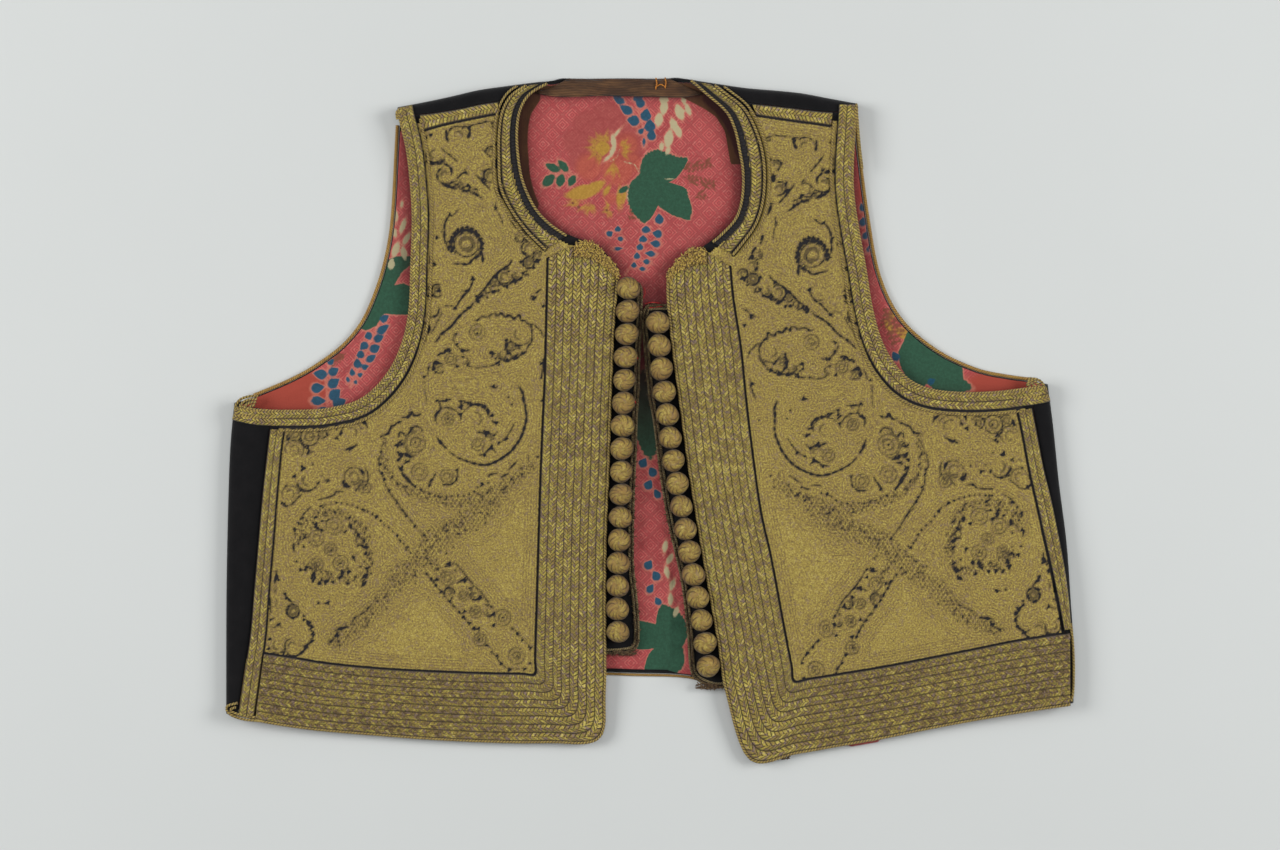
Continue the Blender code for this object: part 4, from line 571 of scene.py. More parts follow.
CREAM_PETALS = (
    (-18.6, 156.9, 7.4, 1.7, 50), (-20.3, 152.2, 8, 2.9, 100), (-20.9, 147.4, 7, 2.5, 70),
    (-23.6, 143.4, 6, 1.8, 40), (7.4, 175.5, 6, 5, 80), (7.4, 171, 8, 4.4, 80), (4.6, 164.4, 8, 4.6, 80),
    (16, 168.5, 9, 5, 110), (20.6, 170, 7, 3, 110), (12.9, 161.4, 8, 4.2, 110), (10, 154, 10, 5, 80),
    (15.2, 158, 7, 4, 110), (6, 149.6, 5, 2.6, 90), (9.6, 147.4, 5, 2.6, 70), (18.2, 175.4, 6, 2.6, 100),
    (-140, 112, 7, 2.6, 100), (-136, 106, 9, 2.8, 70), (-141, 103, 7, 3, 110), (-134, 99, 8, 3, 60),
    (-140, 93, 9, 4, 70), (-135.4, 91, 8, 3.4, 100), (-142.4, 85, 6, 4, 80), (-141.6, 120, 5, 2, 80),
    (-136.6, 118, 4, 1.6, 80), (8, -70, 7, 3, 80), (10.5, -77, 7, 3, 60), (9, -84, 7, 3, 100),
    (12, -91, 7, 3, 70), (11, -99, 7, 3, 90), (14, -106, 6, 3, 70),
)
GREEN_LEAVES = (
    (-53.6, 138, 9, 4.6, 155), (-47.8, 138.8, 8.5, 4.4, 130), (-56, 131, 9, 5.6, 45), (-49.4, 131, 7.6, 5, 72),
    (-43.1, 131, 7, 4.4, 60), (-14.8, 126, 6.5, 3.4, 32), (-1.5, 3, 50, 18, 93), (165, 20, 24, 10, 165),
)
# The big flower: x, y, radius of each petal
ROSE_PETALS = (
    (-34, 160.5, 9), (-24, 164, 10), (-14, 158, 9.5), (-41, 152, 7.5), (-37.5, 143, 8), (-12.5, 148, 8),
    (-27, 152, 14),
)
WARM_PETALS = ((-13, 150.5, 6.5), (-18, 137, 9), (-10.5, 140.5, 6), (-33.5, 138.5, 7.5), (-21.5, 121.5, 3.4))
# Fans of yellow rays: x, y, inner and outer radius, start, end and step in degrees
RAYS = (
    (-26.2, 149, 3, 9.4, 75, 262, 13), (-24, 149.5, 2.5, 6.5, 80, 265, 17), (-18, 148, 3, 7.6, -42, 58, 11),
    (-20, 141, 1, 9, 236, 300, 11), (-38, 119, 1, 9, 150, 215, 14), (-34, 118.5, 1, 7, 215, 330, 16),
    (-22, 115, 1, 5, 120, 280, 26),
)
YELLOW_PETALS = (
    (-26.4, 148.9, 8.4, 8.4, 0), (-37, 124.6, 20, 8, 12), (-31, 127, 14, 6, 30), (-17.2, 121.5, 12.5, 3.2, 88),
    (-14.6, 122, 11, 2.4, 80), (-24, 125.5, 7, 3, 60), (133, 58, 9, 4, 70), (131, 51, 8, 4, 120),
    (139, 47, 10, 6, 150),
)
# A vine leaf: degrees and radius round its middle, then where each one lies: x, y, scale, turn, mirrored
VINE_EDGE = (
    (0, 5), (12, 9.5), (25, 14), (39, 21.5), (52, 17.8), (68, 17), (90, 18.2), (108, 17.4), (122, 15.6),
    (140, 12.3), (155, 11.3), (168, 12.6), (182, 15.2), (196, 16.9), (210, 19), (224, 20.6), (240, 22.2),
    (251, 23.6), (258, 20.3), (264, 16), (270, 12.2), (279, 14.4), (288, 16.7), (294, 19.3), (303, 22.9),
    (310, 26.9), (321, 24.2), (334, 18.8), (349, 15.7), (356, 10), (360, 5),
)
VINE_LEAVES = (
    (4, 129.7, 1, 0, 1), (7, -124, 0.95, 200, 1),
)
# Big leaves at the armholes: x, y round each
ARMHOLE_LEAVES = (
    [
        (-148, 86), (-139.5, 89.4), (-130, 89.6), (-131.4, 84.8), (-136.4, 80.8), (-140.6, 73.6), (-135.6, 74.6),
        (-130, 71.8), (-129.6, 57.2), (-139, 57.2), (-146.6, 57.8), (-150.4, 51.2), (-156.4, 48.4), (-162, 51),
    ],
    [
        (141.6, 49), (138.6, 42), (136, 37), (137.2, 29), (141.4, 21), (148, 14), (151.6, 19.6),
        (156.4, 15.8), (171, 11), (172, 22), (171, 33), (160, 40), (150, 48),
    ],
)
BROWN_FERNS = (
    (127, 62, 139, 45), (131, 58, 141, 56), (130, 50, 136, 40),
    (17, 137, 34, 141), (17.5, 133, 36, 128), (24, 121, 31, 124), (-12, 108, -8, 116),
    (-167, 36, -176, 31), (125, 50, 134, 56),
)


class Value:
    """What a node gives: Python's own sums between values add maths nodes."""

    def __init__(self, graph, socket):
        self.graph, self.socket = graph, socket

    def __abs__(self):
        return self.graph.maths("ABSOLUTE", self)

    def __add__(self, other):
        return self.graph.maths("ADD", self, other)

    def __sub__(self, other):
        return self.graph.maths("SUBTRACT", self, other)

    def __rsub__(self, other):
        return self.graph.maths("SUBTRACT", other, self)

    def __mul__(self, other):
        return self.graph.maths("MULTIPLY", self, other)

    def __truediv__(self, other):
        return self.graph.maths("DIVIDE", self, other)


class Graph:
    """A node tree being built: each call adds a node and gives back its output."""

    def __init__(self, tree):
        self.tree = tree

    def node(self, kind, **settings):
        made = self.tree.nodes.new(kind)
        for key, value in settings.items():
            setattr(made, key, value)
        return made

    def feed(self, socket, value):
        if isinstance(value, Value):
            self.tree.links.new(value.socket, socket)
        elif isinstance(value, tuple) and len(value) == 3 and socket.type == "RGBA":
            socket.default_value = (*value, 1.0)
        else:
            socket.default_value = value

    def maths(self, operation, a, b=0.0, c=0.0):
        made = self.node("ShaderNodeMath", operation=operation)
        for socket, value in zip(made.inputs, (a, b, c)):
            self.feed(socket, value)
        return Value(self, made.outputs[0])

    def step(self, value, low, high, start=0.0, end=1.0):
        made = self.node("ShaderNodeMapRange", interpolation_type="SMOOTHSTEP")
        for socket, given in zip(made.inputs, (value, low, high, start, end)):
            self.feed(socket, given)
        return Value(self, made.outputs[0])

    def mix(self, share, a, b, blend="MIX"):
        made = self.node("ShaderNodeMix", data_type="RGBA", blend_type=blend)
        self.feed(made.inputs["Factor"], share)
        self.feed(made.inputs[6], a)
        self.feed(made.inputs[7], b)
        return Value(self, made.outputs[2])

    def attribute(self, name):
        return Value(self, self.node("ShaderNodeAttribute", attribute_name=name).outputs["Fac"])

    def place(self, stretch=(1.0, 1.0, 1.0), turn=0.0):
        """Where a point is on the vest, in millimetres."""
        made = self.node("ShaderNodeMapping")
        self.tree.links.new(self.node("ShaderNodeTexCoord").outputs["Object"], made.inputs["Vector"])
        made.inputs["Scale"].default_value = tuple(1000.0 * s for s in stretch)
        made.inputs["Rotation"].default_value = (0.0, 0.0, turn)
        return Value(self, made.outputs[0])

    def across_and_along(self, at):
        """x and y of a place, apart."""
        made = self.node("ShaderNodeSeparateXYZ")
        self.feed(made.inputs[0], at)
        return Value(self, made.outputs[0]), Value(self, made.outputs[1])

    def joined(self, x, y, z=0.0):
        made = self.node("ShaderNodeCombineXYZ")
        for socket, value in zip(made.inputs, (x, y, z)):
            self.feed(socket, value)
        return Value(self, made.outputs[0])

    def noise(self, at, size, detail=2.0, roughness=0.6):
        """Soft noise whose grains are about size across."""
        made = self.node("ShaderNodeTexNoise")
        self.feed(made.inputs["Vector"], at)
        made.inputs["Scale"].default_value = 0.7 / size
        made.inputs["Detail"].default_value = detail
        made.inputs["Roughness"].default_value = roughness
        return Value(self, made.outputs["Fac"])

    def chance(self, at):
        made = self.node("ShaderNodeTexWhiteNoise", noise_dimensions="3D")
        self.feed(made.inputs["Vector"], at)
        return Value(self, made.outputs["Value"])

    def ramp(self, value, stops):
        made = self.node("ShaderNodeValToRGB")
        self.feed(made.inputs["Fac"], value)
        ramp = made.color_ramp
        while len(ramp.elements) < len(stops):
            ramp.elements.new(0.5)
        for element, (at, colour) in zip(ramp.elements, stops):
            element.position = at
            element.color = (*colour, 1.0)
        return Value(self, made.outputs["Color"])

    def bump(self, height, distance, strength=1.0):
        made = self.node("ShaderNodeBump")
        made.inputs["Strength"].default_value = strength
        made.inputs["Distance"].default_value = distance * MM
        self.feed(made.inputs["Height"], height)
        return Value(self, made.outputs["Normal"])


def group(name, inputs, outputs, build):
    """A shared effect: a node group with plain number or colour inputs and varying outputs."""
    made = bpy.data.node_groups.new(name, "ShaderNodeTree")
    kinds = {"value": "NodeSocketFloat", "colour": "NodeSocketColor"}
    for label, kind in inputs:
        made.interface.new_socket(label, in_out="INPUT", socket_type=kinds[kind])
    for label, kind in outputs:
        made.interface.new_socket(label, in_out="OUTPUT", socket_type=kinds[kind])
    graph = Graph(made)
    found = build(graph, [Value(graph, socket) for socket in graph.node("NodeGroupInput").outputs])
    end = graph.node("NodeGroupOutput")
    for socket, value in zip(end.inputs, found):
        graph.feed(socket, value)
    return made


def used_group(graph, name, **values):
    """A shared effect's outputs by name, with its inputs given."""
    made = graph.node("ShaderNodeGroup", node_tree=bpy.data.node_groups[name])
    for label, value in values.items():
        graph.feed(made.inputs[label], value)
    return {socket.name: Value(graph, socket) for socket in made.outputs}


def new_material(name, roughness, specular, paint, sheen=0.0):
    """A material whose paint gives colour, and maybe height in millimetres and roughness."""
    made = bpy.data.materials.new(name)
    made.use_nodes = True
    shader = made.node_tree.nodes["Principled BSDF"]
    shader.inputs["Roughness"].default_value = roughness
    shader.inputs["Specular IOR Level"].default_value = specular
    shader.inputs["Sheen Weight"].default_value = sheen
    shader.inputs["Sheen Roughness"].default_value = 0.5
    graph = Graph(made.node_tree)
    found = paint(graph)
    graph.feed(shader.inputs["Base Color"], found["colour"])
    if "height" in found:
        graph.feed(shader.inputs["Normal"], graph.bump(found["height"], found.get("deep", 1.0)))
    if "roughness" in found:
        graph.feed(shader.inputs["Roughness"], found["roughness"])
    return made


def build_groups():
    """The shared effects: felt, the strands of a plait, and gold thread."""
    def felt(graph, _):
        at = graph.place()
        soft = graph.noise(at, 6.0, 3.0)
        fine = graph.noise(graph.place((1.0, 2.6, 1.0), 0.7), 0.45, 2.0, 0.8)
        return fine, soft

    group("felt", [], [("Fine", "value"), ("Soft", "value")], felt)

    def strands(graph, given):
        """Slanting strands of a plait, which meet at its middle."""
        across, along, lean, pitch = given[:4]
        share = graph.maths("FRACT", across)
        from_middle = abs(share - 0.5) * 2.0
        half = graph.maths("GREATER_THAN", share, 0.5)
        wobble = graph.noise(graph.joined(across, along * 0.25), 0.8, 1.0)
        turned = along / pitch + from_middle * lean
        turned = turned + half * 0.5
        turned = turned + wobble * 0.7
        number = graph.maths("FLOOR", turned)
        plait = graph.maths("FLOOR", across)
        pick = graph.chance(graph.joined(number, plait * 2.0 + half, 3.0))
        in_strand = graph.maths("FRACT", turned)
        round_ = 1.0 - abs(in_strand * 2.0 - 1.0)
        edge = graph.step(round_, 0.0, 0.45)
        side = graph.step(from_middle, 0.98, 0.78)
        groove = graph.step(from_middle, 0.0, 0.14, 0.55, 1.0)
        height = edge * side * groove
        threads = graph.noise(graph.joined(turned * 5.0, along * 0.5, plait), 0.9, 2.0)
        return pick, height, threads

    group(
        "plait_strands", [("Across", "value"), ("Along", "value"), ("Lean", "value"), ("Pitch", "value")],
        [("Pick", "value"), ("Height", "value"), ("Threads", "value")], strands,
    )

    def gold(graph, given):
        """Gold thread, from pale to brown, by two numbers from 0 to 1."""
        base = graph.ramp(
            given[0],
            (
                (0.0, (0.095, 0.055, 0.028)), (0.2, (0.2, 0.128, 0.06)), (0.42, (0.28, 0.195, 0.045)),
                (0.62, (0.39, 0.285, 0.052)), (0.85, (0.55, 0.43, 0.075)), (1.0, (0.66, 0.54, 0.16)),
            ),
        )
        faded = graph.mix(graph.step(given[1], 0.52, 0.78), base, (0.25, 0.17, 0.14))
        return (graph.mix(graph.step(given[1], 0.4, 0.22), faded, (0.34, 0.3, 0.06)),)

    group("gold_thread", [("Tone", "value"), ("Hue", "value")], [("Colour", "colour")], gold)


def paint_plait(graph):
    """Plaited gold braid, yellower and worn along the hem, with painted shade where the strands dip and in the
    joins between the hem's plaits.
    """
    across, along = graph.attribute("across"), graph.attribute("along")
    black = graph.attribute("black")
    found = used_group(
        graph, "plait_strands", Across=across, Along=along, Lean=STRAND_LEAN, Pitch=STRAND_PITCH,
    )
    at = graph.place()
    patch = graph.noise(at, 22.0, 2.0)
    grain = graph.noise(at, 0.6, 2.0, 0.8)
    tone = found["Pick"] * 0.6 + found["Threads"] * 0.7
    tone = tone + (grain - 0.5) * 1.7
    tone = tone + (patch - 0.5) * 0.35
    tone = (tone - 0.3) * graph.step(along, *HEM_TURN, 1.0, 1.05)
    streak = graph.noise(graph.joined(across * 4.0, along * 0.4), 0.8, 2.0, 0.7)
    streak = (streak - 0.5) * graph.step(along, *HEM_TURN, 0.0, 2.2)
    tone = tone + streak
    tone = tone + graph.step(along, *HEM_TURN, 0.24, 0.02)
    hue = graph.noise(graph.joined(across * 3.0, along * 0.6), 0.9, 2.0)
    hue = (hue - 0.5) * 1.8 + 0.5
    colour = used_group(graph, "gold_thread", Tone=tone, Hue=hue)["Colour"]
    # Painted shade: darker where the strands are low (between strands, at the plaits' sides and at their middle
    # groove), weaker along the hem
    deep = graph.mix(graph.step(found["Height"], 0.0, 0.7), (0.04, 0.024, 0.014), colour)
    colour = graph.mix(graph.step(along, *HEM_TURN, 0.85, 0.4), colour, deep)
    colour = graph.mix(graph.step(along, *HEM_TURN, 0.0, 0.16), colour, (0.17, 0.115, 0.01))
    # Painted shade in the joins between plaits, along the hem only
    from_middle = abs(graph.maths("FRACT", across) - 0.5)
    seam = graph.step(from_middle, 0.36, 0.48) * graph.step(along, *HEM_TURN, 0.0, 0.5)
    colour = graph.mix(seam, colour, (0.05, 0.034, 0.014))
    colour = graph.mix(graph.step(black, 0.42, 0.58), colour, (0.012, 0.01, 0.011))
    height = found["Height"] + (found["Threads"] + grain) * 0.5
    return {"colour": colour, "height": height, "deep": 0.6}


def paint_couching(graph):
    """Gold cord sewn down in rings, black where the ground is open, with a painted highlight on the cords' crests
    and painted shade along the rings.
    """
    gap, ring, loops = graph.attribute("gap"), graph.attribute("ring"), graph.attribute("loops")
    at = graph.place()
    jitter = graph.noise(at, 1.1, 2.0)
    grain = graph.noise(at, 0.62, 2.0, 0.8)
    waves = ring * (2 * math.pi / 1.5) + jitter * 3.0
    cords = graph.maths("SINE", waves)
    patch = graph.noise(at, 16.0, 3.0)
    tone = (grain - 0.5) * 2.5 + 0.52
    # Painted highlight: each cord a little paler on its crest and darker between, in step with its bump
    tone = tone + cords * 0.11
    tone = tone + (patch - 0.5) * 0.3
    hue = graph.noise(at, 1.5, 3.0, 0.7)
    colour = used_group(graph, "gold_thread", Tone=tone, Hue=hue)["Colour"]
    colour = graph.mix(0.3, colour, (0.3, 0.215, 0.07))
    speck = graph.step(graph.noise(at, 0.9, 1.0), 0.34, 0.26)
    colour = graph.mix(speck * 0.6, colour, (0.09, 0.055, 0.035))
    curl = abs(graph.noise(at, 1.7, 1.0) - 0.5)
    x, y = graph.across_and_along(at)
    wobble = jitter * 4.0
    upright = graph.maths("SINE", x * (2 * math.pi / 2.3) + wobble)
    level = graph.maths("SINE", y * (2 * math.pi / 3.7) + wobble)
    hooks = graph.step(upright * level, 0.15, 0.6)
    curl = graph.maths("MAXIMUM", graph.step(curl, 0.055, 0.01) * 0.5, hooks)
    colour = graph.mix(curl * (loops * 0.72), colour, (0.075, 0.048, 0.022))
    rough_gap = gap + (jitter - 0.5) * 0.7
    shade = graph.step(rough_gap, 0.28, -0.1)
    # Darker along the faint rings and the edges of the black: partly the dark lines between cords, partly painted
    # shade in the valleys the mesh has there
    line = ring + (jitter - 0.5) * 0.7
    crease = graph.step(line, 0.65, 0.15)
    colour = graph.mix(crease * 0.78, colour, (0.06, 0.04, 0.02))
    colour = graph.mix(shade, colour, (0.01, 0.008, 0.009))
    height = cords * 0.2 + grain * 1.6
    height = height * (1.0 - shade)
    return {"colour": colour, "height": height, "deep": 0.45}


def cord_paint(pale, dull):
    """Twisted cord in flecks from pale to dull, with a painted highlight on its crests and painted shade in the
    grooves between strands.
    """
    def paint(graph):
        lobe, along = graph.attribute("lobe"), graph.attribute("along")
        at = graph.place()
        fleck = graph.noise(at, 0.8, 2.0, 0.7)
        run = graph.noise(graph.joined(along, 0.0), 7.0, 2.0)
        share = fleck * 0.9 + run * 0.5
        # Painted highlight: paler towards each strand's crest
        share = share + lobe * 0.28
        colour = graph.mix(graph.step(share, 0.45, 1.05), dull, pale)
        # Painted shade in the grooves between strands
        colour = graph.mix(graph.step(lobe, -0.35, -0.95), colour, (0.05, 0.03, 0.018))
        return {"colour": colour, "height": lobe + fleck, "deep": 0.25}
    return paint


def paint_wool(graph):
    """Black felted wool."""
    found = used_group(graph, "felt")
    share = found["Fine"] * 0.7 + found["Soft"] * 0.4
    colour = graph.ramp(
        share,
        ((0.25, (0.003, 0.0028, 0.0033)), (0.55, (0.0058, 0.0055, 0.0063)), (0.8, (0.013, 0.0115, 0.012))),
    )
    return {"colour": colour, "height": share, "deep": 0.25}


def paint_lining(graph):
    """Pink cotton with a woven lattice and the print in its colours."""
    at = graph.place()
    x, y = graph.across_and_along(graph.place(turn=math.radians(45.0)))

    def from_middle(value):
        share = graph.maths("FRACT", value / LATTICE)
        return abs(share - 0.5)

    nest = graph.maths("MAXIMUM", from_middle(x), from_middle(y))
    fine = abs(graph.maths("FRACT", nest * 6.0) - 0.5)
    lines = graph.step(fine, 0.3, 0.12) * 0.55
    lines = graph.maths("MAXIMUM", lines, graph.step(nest, 0.45, 0.48) * 0.42)
    cloud = graph.noise(at, 14.0, 3.0)
    mottle = graph.noise(at, 1.1, 3.0, 0.7)
    ground = graph.mix(graph.step(cloud, 0.3, 0.75), (0.54, 0.105, 0.1), (0.42, 0.07, 0.07))
    ground = graph.mix(graph.step(mottle, 0.42, 0.72) * 0.6, ground, (0.62, 0.22, 0.18))
    ground = graph.mix(lines * graph.step(mottle, 0.25, 0.55, 0.5, 1.0), ground, (0.2, 0.03, 0.036))
    red = graph.attribute("plain_red")
    ground = graph.mix(graph.step(red, 0.0, 6.0), ground, (0.37, 0.064, 0.042))

    def print_(colour, name, ink, worn=0.22, soft=0.35, whole=0.93):
        value = graph.attribute(name) + (mottle - 0.5) * 1.1
        cover = graph.step(value, -soft, soft)
        inked = graph.mix(
            graph.step(mottle, 0.35, 0.7) * worn, ink, tuple((min(1.0, c * 2.0) for c in ink)),
        )
        return graph.mix(cover * whole, colour, inked)

    colour = print_(ground, "rose", (0.33, 0.07, 0.062), 0.15, 2.4, 0.75)
    colour = print_(colour, "petal", (0.44, 0.098, 0.055), 0.2, 2.2, 0.6)
    colour = print_(colour, "fold", (0.26, 0.04, 0.04), 0.2, 0.7, 0.55)
    colour = print_(colour, "halo", (0.6, 0.22, 0.15), 0.1, 0.7, 0.75)
    colour = print_(colour, "yellow", (0.39, 0.24, 0.033), 0.25, 0.75, 0.85)
    colour = print_(colour, "brown", (0.17, 0.06, 0.035), 0.3, 0.25)
    colour = print_(colour, "green", (0.018, 0.078, 0.046), 0.3, 0.35, 0.98)
    colour = print_(colour, "blue", (0.014, 0.072, 0.12), 0.3, 0.35, 0.98)
    colour = print_(colour, "cream", (0.46, 0.41, 0.24), 0.05)
    silk = graph.mix(
        graph.noise(graph.place((1.0, 0.4, 1.0)), 3.0, 3.0), (0.04, 0.018, 0.013), (0.15, 0.068, 0.028),
    )
    colour = graph.mix(graph.step(graph.attribute("silk"), -0.5, 0.3), colour, silk)
    colour = graph.mix(graph.attribute("shade"), colour, (0.035, 0.01, 0.012))
    threads = graph.noise(graph.place((3.2, 0.3, 1.0)), 0.8, 1.0)
    threads = threads + graph.noise(graph.place((0.3, 3.2, 1.0)), 0.8, 1.0)
    return {"colour": colour, "height": threads, "deep": 0.15}


def paint_silk(graph):
    """Brown ribbed silk, worn and stained, with painted shade between the ribs."""
    y = graph.across_and_along(graph.place())[1]
    wave = graph.noise(graph.place(), 18.0, 1.0) * 5.0
    ribs = graph.maths("SINE", (y + wave) * (2 * math.pi / 1.3))
    worn = graph.noise(graph.place((0.3, 1.0, 1.0)), 3.5, 3.0)
    stain = graph.noise(graph.place(), 15.0, 2.0)
    colour = graph.mix(graph.step(worn, 0.35, 0.7), (0.07, 0.034, 0.018), (0.175, 0.085, 0.034))
    colour = graph.mix(graph.step(stain, 0.48, 0.75) * 0.6, colour, (0.2, 0.085, 0.03))
    # Painted shade in the troughs between the ribs
    colour = graph.mix(graph.step(ribs, 0.2, -0.9, 0.0, 0.35), colour, (0.03, 0.018, 0.01))
    return {"colour": colour, "height": ribs, "deep": 0.2}


def paint_ball(graph):
    """Gold thread wound in wedges, with a painted highlight towards the crown and painted shade in the creases
    between wedges and low down.
    """
    wedge, along, rise = graph.attribute("wedge"), graph.attribute("along"), graph.attribute("rise")
    share = graph.maths("FRACT", wedge)
    ball = graph.attribute("ball")
    pick = graph.chance(graph.joined(graph.maths("FLOOR", wedge), ball, 1.0))
    threads = graph.noise(graph.joined(wedge * 4.2, along * 0.5, ball), 0.5, 2.0)
    grain = graph.noise(graph.place(), 0.9, 2.0, 0.8)
    tone = pick * 0.4 + (threads - 0.5) * 1.5
    tone = tone + (grain - 0.5) * 1.6
    # Painted highlight: paler the higher on the ball
    tone = tone + rise * 0.55
    hue = graph.noise(graph.joined(wedge, along, ball), 1.4, 2.0)
    colour = used_group(graph, "gold_thread", Tone=tone - 0.12, Hue=hue)["Colour"]
    worn = graph.noise(graph.joined(wedge * 0.6, along * 0.35, ball), 1.0, 2.0)
    colour = graph.mix(graph.step(worn, 0.35, 0.7, 0.25, 0.75), colour, (0.33, 0.19, 0.05))
    # Painted shade in the creases between wedges, off the crown
    fold = abs(share - 0.5)
    crease = graph.step(fold, 0.3, 0.5) * graph.step(rise, 0.99, 0.9)
    colour = graph.mix(crease * 0.8, colour, (0.045, 0.024, 0.014))
    # Painted shade low down on the ball, towards its foot
    colour = graph.mix(graph.step(rise, 0.93, 0.45, 0.0, 0.88), colour, (0.055, 0.028, 0.012))
    return {"colour": colour, "height": threads + grain, "deep": 0.4}


def plain_paint(colour, dark):
    """Thread of one colour with darker grain."""
    def paint(graph):
        grain = graph.noise(graph.place(), 1.0, 2.0, 0.7)
        return {"colour": graph.mix(graph.step(grain, 0.35, 0.7), dark, colour), "height": grain, "deep": 0.2}
    return paint


def paint_floor(graph):
    """A pale, nearly even surface."""
    grain = graph.noise(graph.place(), 90.0, 3.0)
    return {
        "colour": graph.mix(grain, (0.665, 0.685, 0.670), (0.685, 0.705, 0.690)), "height": grain,
        "deep": 0.01,
    }


def build_materials():
    """Every material: name, roughness, specular, paint and sheen."""
    build_groups()
    table = (
        ("black_wool", 0.92, 0.15, paint_wool, 0.12),
        ("gold_plait", 0.62, 0.30, paint_plait, 0.1),
        ("sewn_gold", 0.68, 0.28, paint_couching, 0.1),
        ("gold_cord", 0.58, 0.32, cord_paint((0.5, 0.37, 0.085), (0.21, 0.135, 0.055)), 0.1),
        ("orange_cord", 0.66, 0.25, cord_paint((0.56, 0.34, 0.07), (0.33, 0.17, 0.045)), 0.1),
        ("bright_cord", 0.50, 0.4, cord_paint((0.66, 0.48, 0.09), (0.36, 0.20, 0.055)), 0.1),
        ("dull_cord", 0.70, 0.2, cord_paint((0.34, 0.26, 0.11), (0.11, 0.080, 0.045)), 0.1),
        ("printed_lining", 0.86, 0.12, paint_lining, 0.15),
        ("ribbed_silk", 0.62, 0.3, paint_silk, 0.1),
        ("wound_thread", 0.55, 0.35, paint_ball, 0.1),
        ("red_thread", 0.7, 0.2, plain_paint((0.55, 0.05, 0.04), (0.30, 0.02, 0.02)), 0.0),
        ("orange_thread", 0.6, 0.25, plain_paint((0.62, 0.26, 0.04), (0.36, 0.12, 0.02)), 0.0),
        ("brown_thread", 0.75, 0.2, plain_paint((0.16, 0.10, 0.05), (0.05, 0.03, 0.018)), 0.0),
        ("pale_floor", 0.85, 0.1, paint_floor, 0.0),
    )
    for name, roughness, specular, paint, sheen in table:
        new_material(name, roughness, specular, paint, sheen)


def spline(rows, per_row):
    """Points of a soft curve through every row, per_row of them to each span."""
    rows = np.array(rows, float)
    padded = np.vstack([2 * rows[0] - rows[1], rows, 2 * rows[-1] - rows[-2]])
    t = np.arange(per_row)[:, None] / per_row
    found = []
    for i in range(1, len(padded) - 2):
        before, start, end, after = padded[i - 1:i + 3]
        found.append(0.5 * (2 * start + (end - before) * t
                            + (2 * before - 5 * start + 4 * end - after) * t ** 2
                            + (3 * start - before - 3 * end + after) * t ** 3))
    return np.vstack([*found, rows[-1:]])


def evenly(points, step=None, count=None):
    """The same curve with its points at even steps along it."""
    points = np.array(points, float)
    along = np.concatenate([[0], np.cumsum(np.linalg.norm(np.diff(points, axis=0), axis=1))])
    spans = count - 1 if count else max(1, round(along[-1] / step))
    wanted = np.linspace(0, along[-1], spans + 1)
    return np.column_stack([np.interp(wanted, along, points[:, k]) for k in range(points.shape[1])])


def curve(rows, step):
    """A soft curve through every row, at even steps."""
    return evenly(spline(rows, 10), step)


def beside(path, distance):
    """A curve moved to its own left by a distance."""
    along = np.gradient(path, axis=0)
    left = np.column_stack([-along[:, 1], along[:, 0]])
    return path + left / np.linalg.norm(left, axis=1)[:, None] * distance


def smooth_step(t):
    """From 0 to 1 with soft ends."""
    t = np.clip(t, 0.0, 1.0)
    return t * t * (3 - 2 * t)


class Lookup:
    """A table read once into a soft curve, then asked for one column from the other."""

    def __init__(self, rows, key):
        dense = spline(rows, 8)
        order = np.argsort(dense[:, key])
        self.keys = dense[order, key]
        self.values = dense[order, 1 - key]

    def __call__(self, at):
        return np.interp(at, self.keys, self.values)


left_fold_x = Lookup(LEFT_FOLD, 1)
right_fold_x = Lookup(RIGHT_FOLD, 1)
left_shoulder_y = Lookup(LEFT_SHOULDER_FOLD, 0)
right_shoulder_y = Lookup(RIGHT_SHOULDER_FOLD, 0)
back_hem_y = Lookup(BACK_HEM, 0)
for SIDE in (LEFT, RIGHT):
    SIDE["side_x"] = Lookup(SIDE["side"], 1)
    SIDE["shoulder_y"] = Lookup(SIDE["shoulder"], 0)
    SIDE["centre_x"] = Lookup(SIDE["centre"], 1)


def side_turn(toward_side, y):
    """x where the cloth starts to turn over at the side."""
    return left_fold_x(y) + FOLD_RADIUS if toward_side < 0 else right_fold_x(y) - FOLD_RADIUS


def shoulder_turn(x):
    """y where the cloth starts to turn over at a shoulder. Across the neck it lies flat."""
    x = np.asarray(x, float)
    left_end, right_start = LEFT_SHOULDER_FOLD[-1][0], RIGHT_SHOULDER_FOLD[0][0]
    left_edge, right_edge = left_shoulder_y(left_end) - FOLD_RADIUS, right_shoulder_y(right_start) - FOLD_RADIUS
    near_left = left_edge + (NECK_FLAT - left_edge) * smooth_step((x - left_end) / NECK_TURN)
    near_right = right_edge + (NECK_FLAT - right_edge) * smooth_step((right_start - x) / NECK_TURN)
    across_neck = np.where(x < (left_end + right_start) / 2, near_left, near_right)
    found = np.where(x >= right_start, right_shoulder_y(x) - FOLD_RADIUS, across_neck)
    return np.where(x <= left_end, left_shoulder_y(x) - FOLD_RADIUS, found)


def rolled(beyond, depth):
    """Where a point lies that is this far past the start of a fold: how far out, and how high."""
    radius = FOLD_RADIUS - depth
    turn = np.clip(beyond / FOLD_RADIUS, 0.0, math.pi)
    past = np.maximum(beyond - HALF_TURN, 0.0)
    return radius * np.sin(turn) - past, FOLD_RADIUS - radius * np.cos(turn)


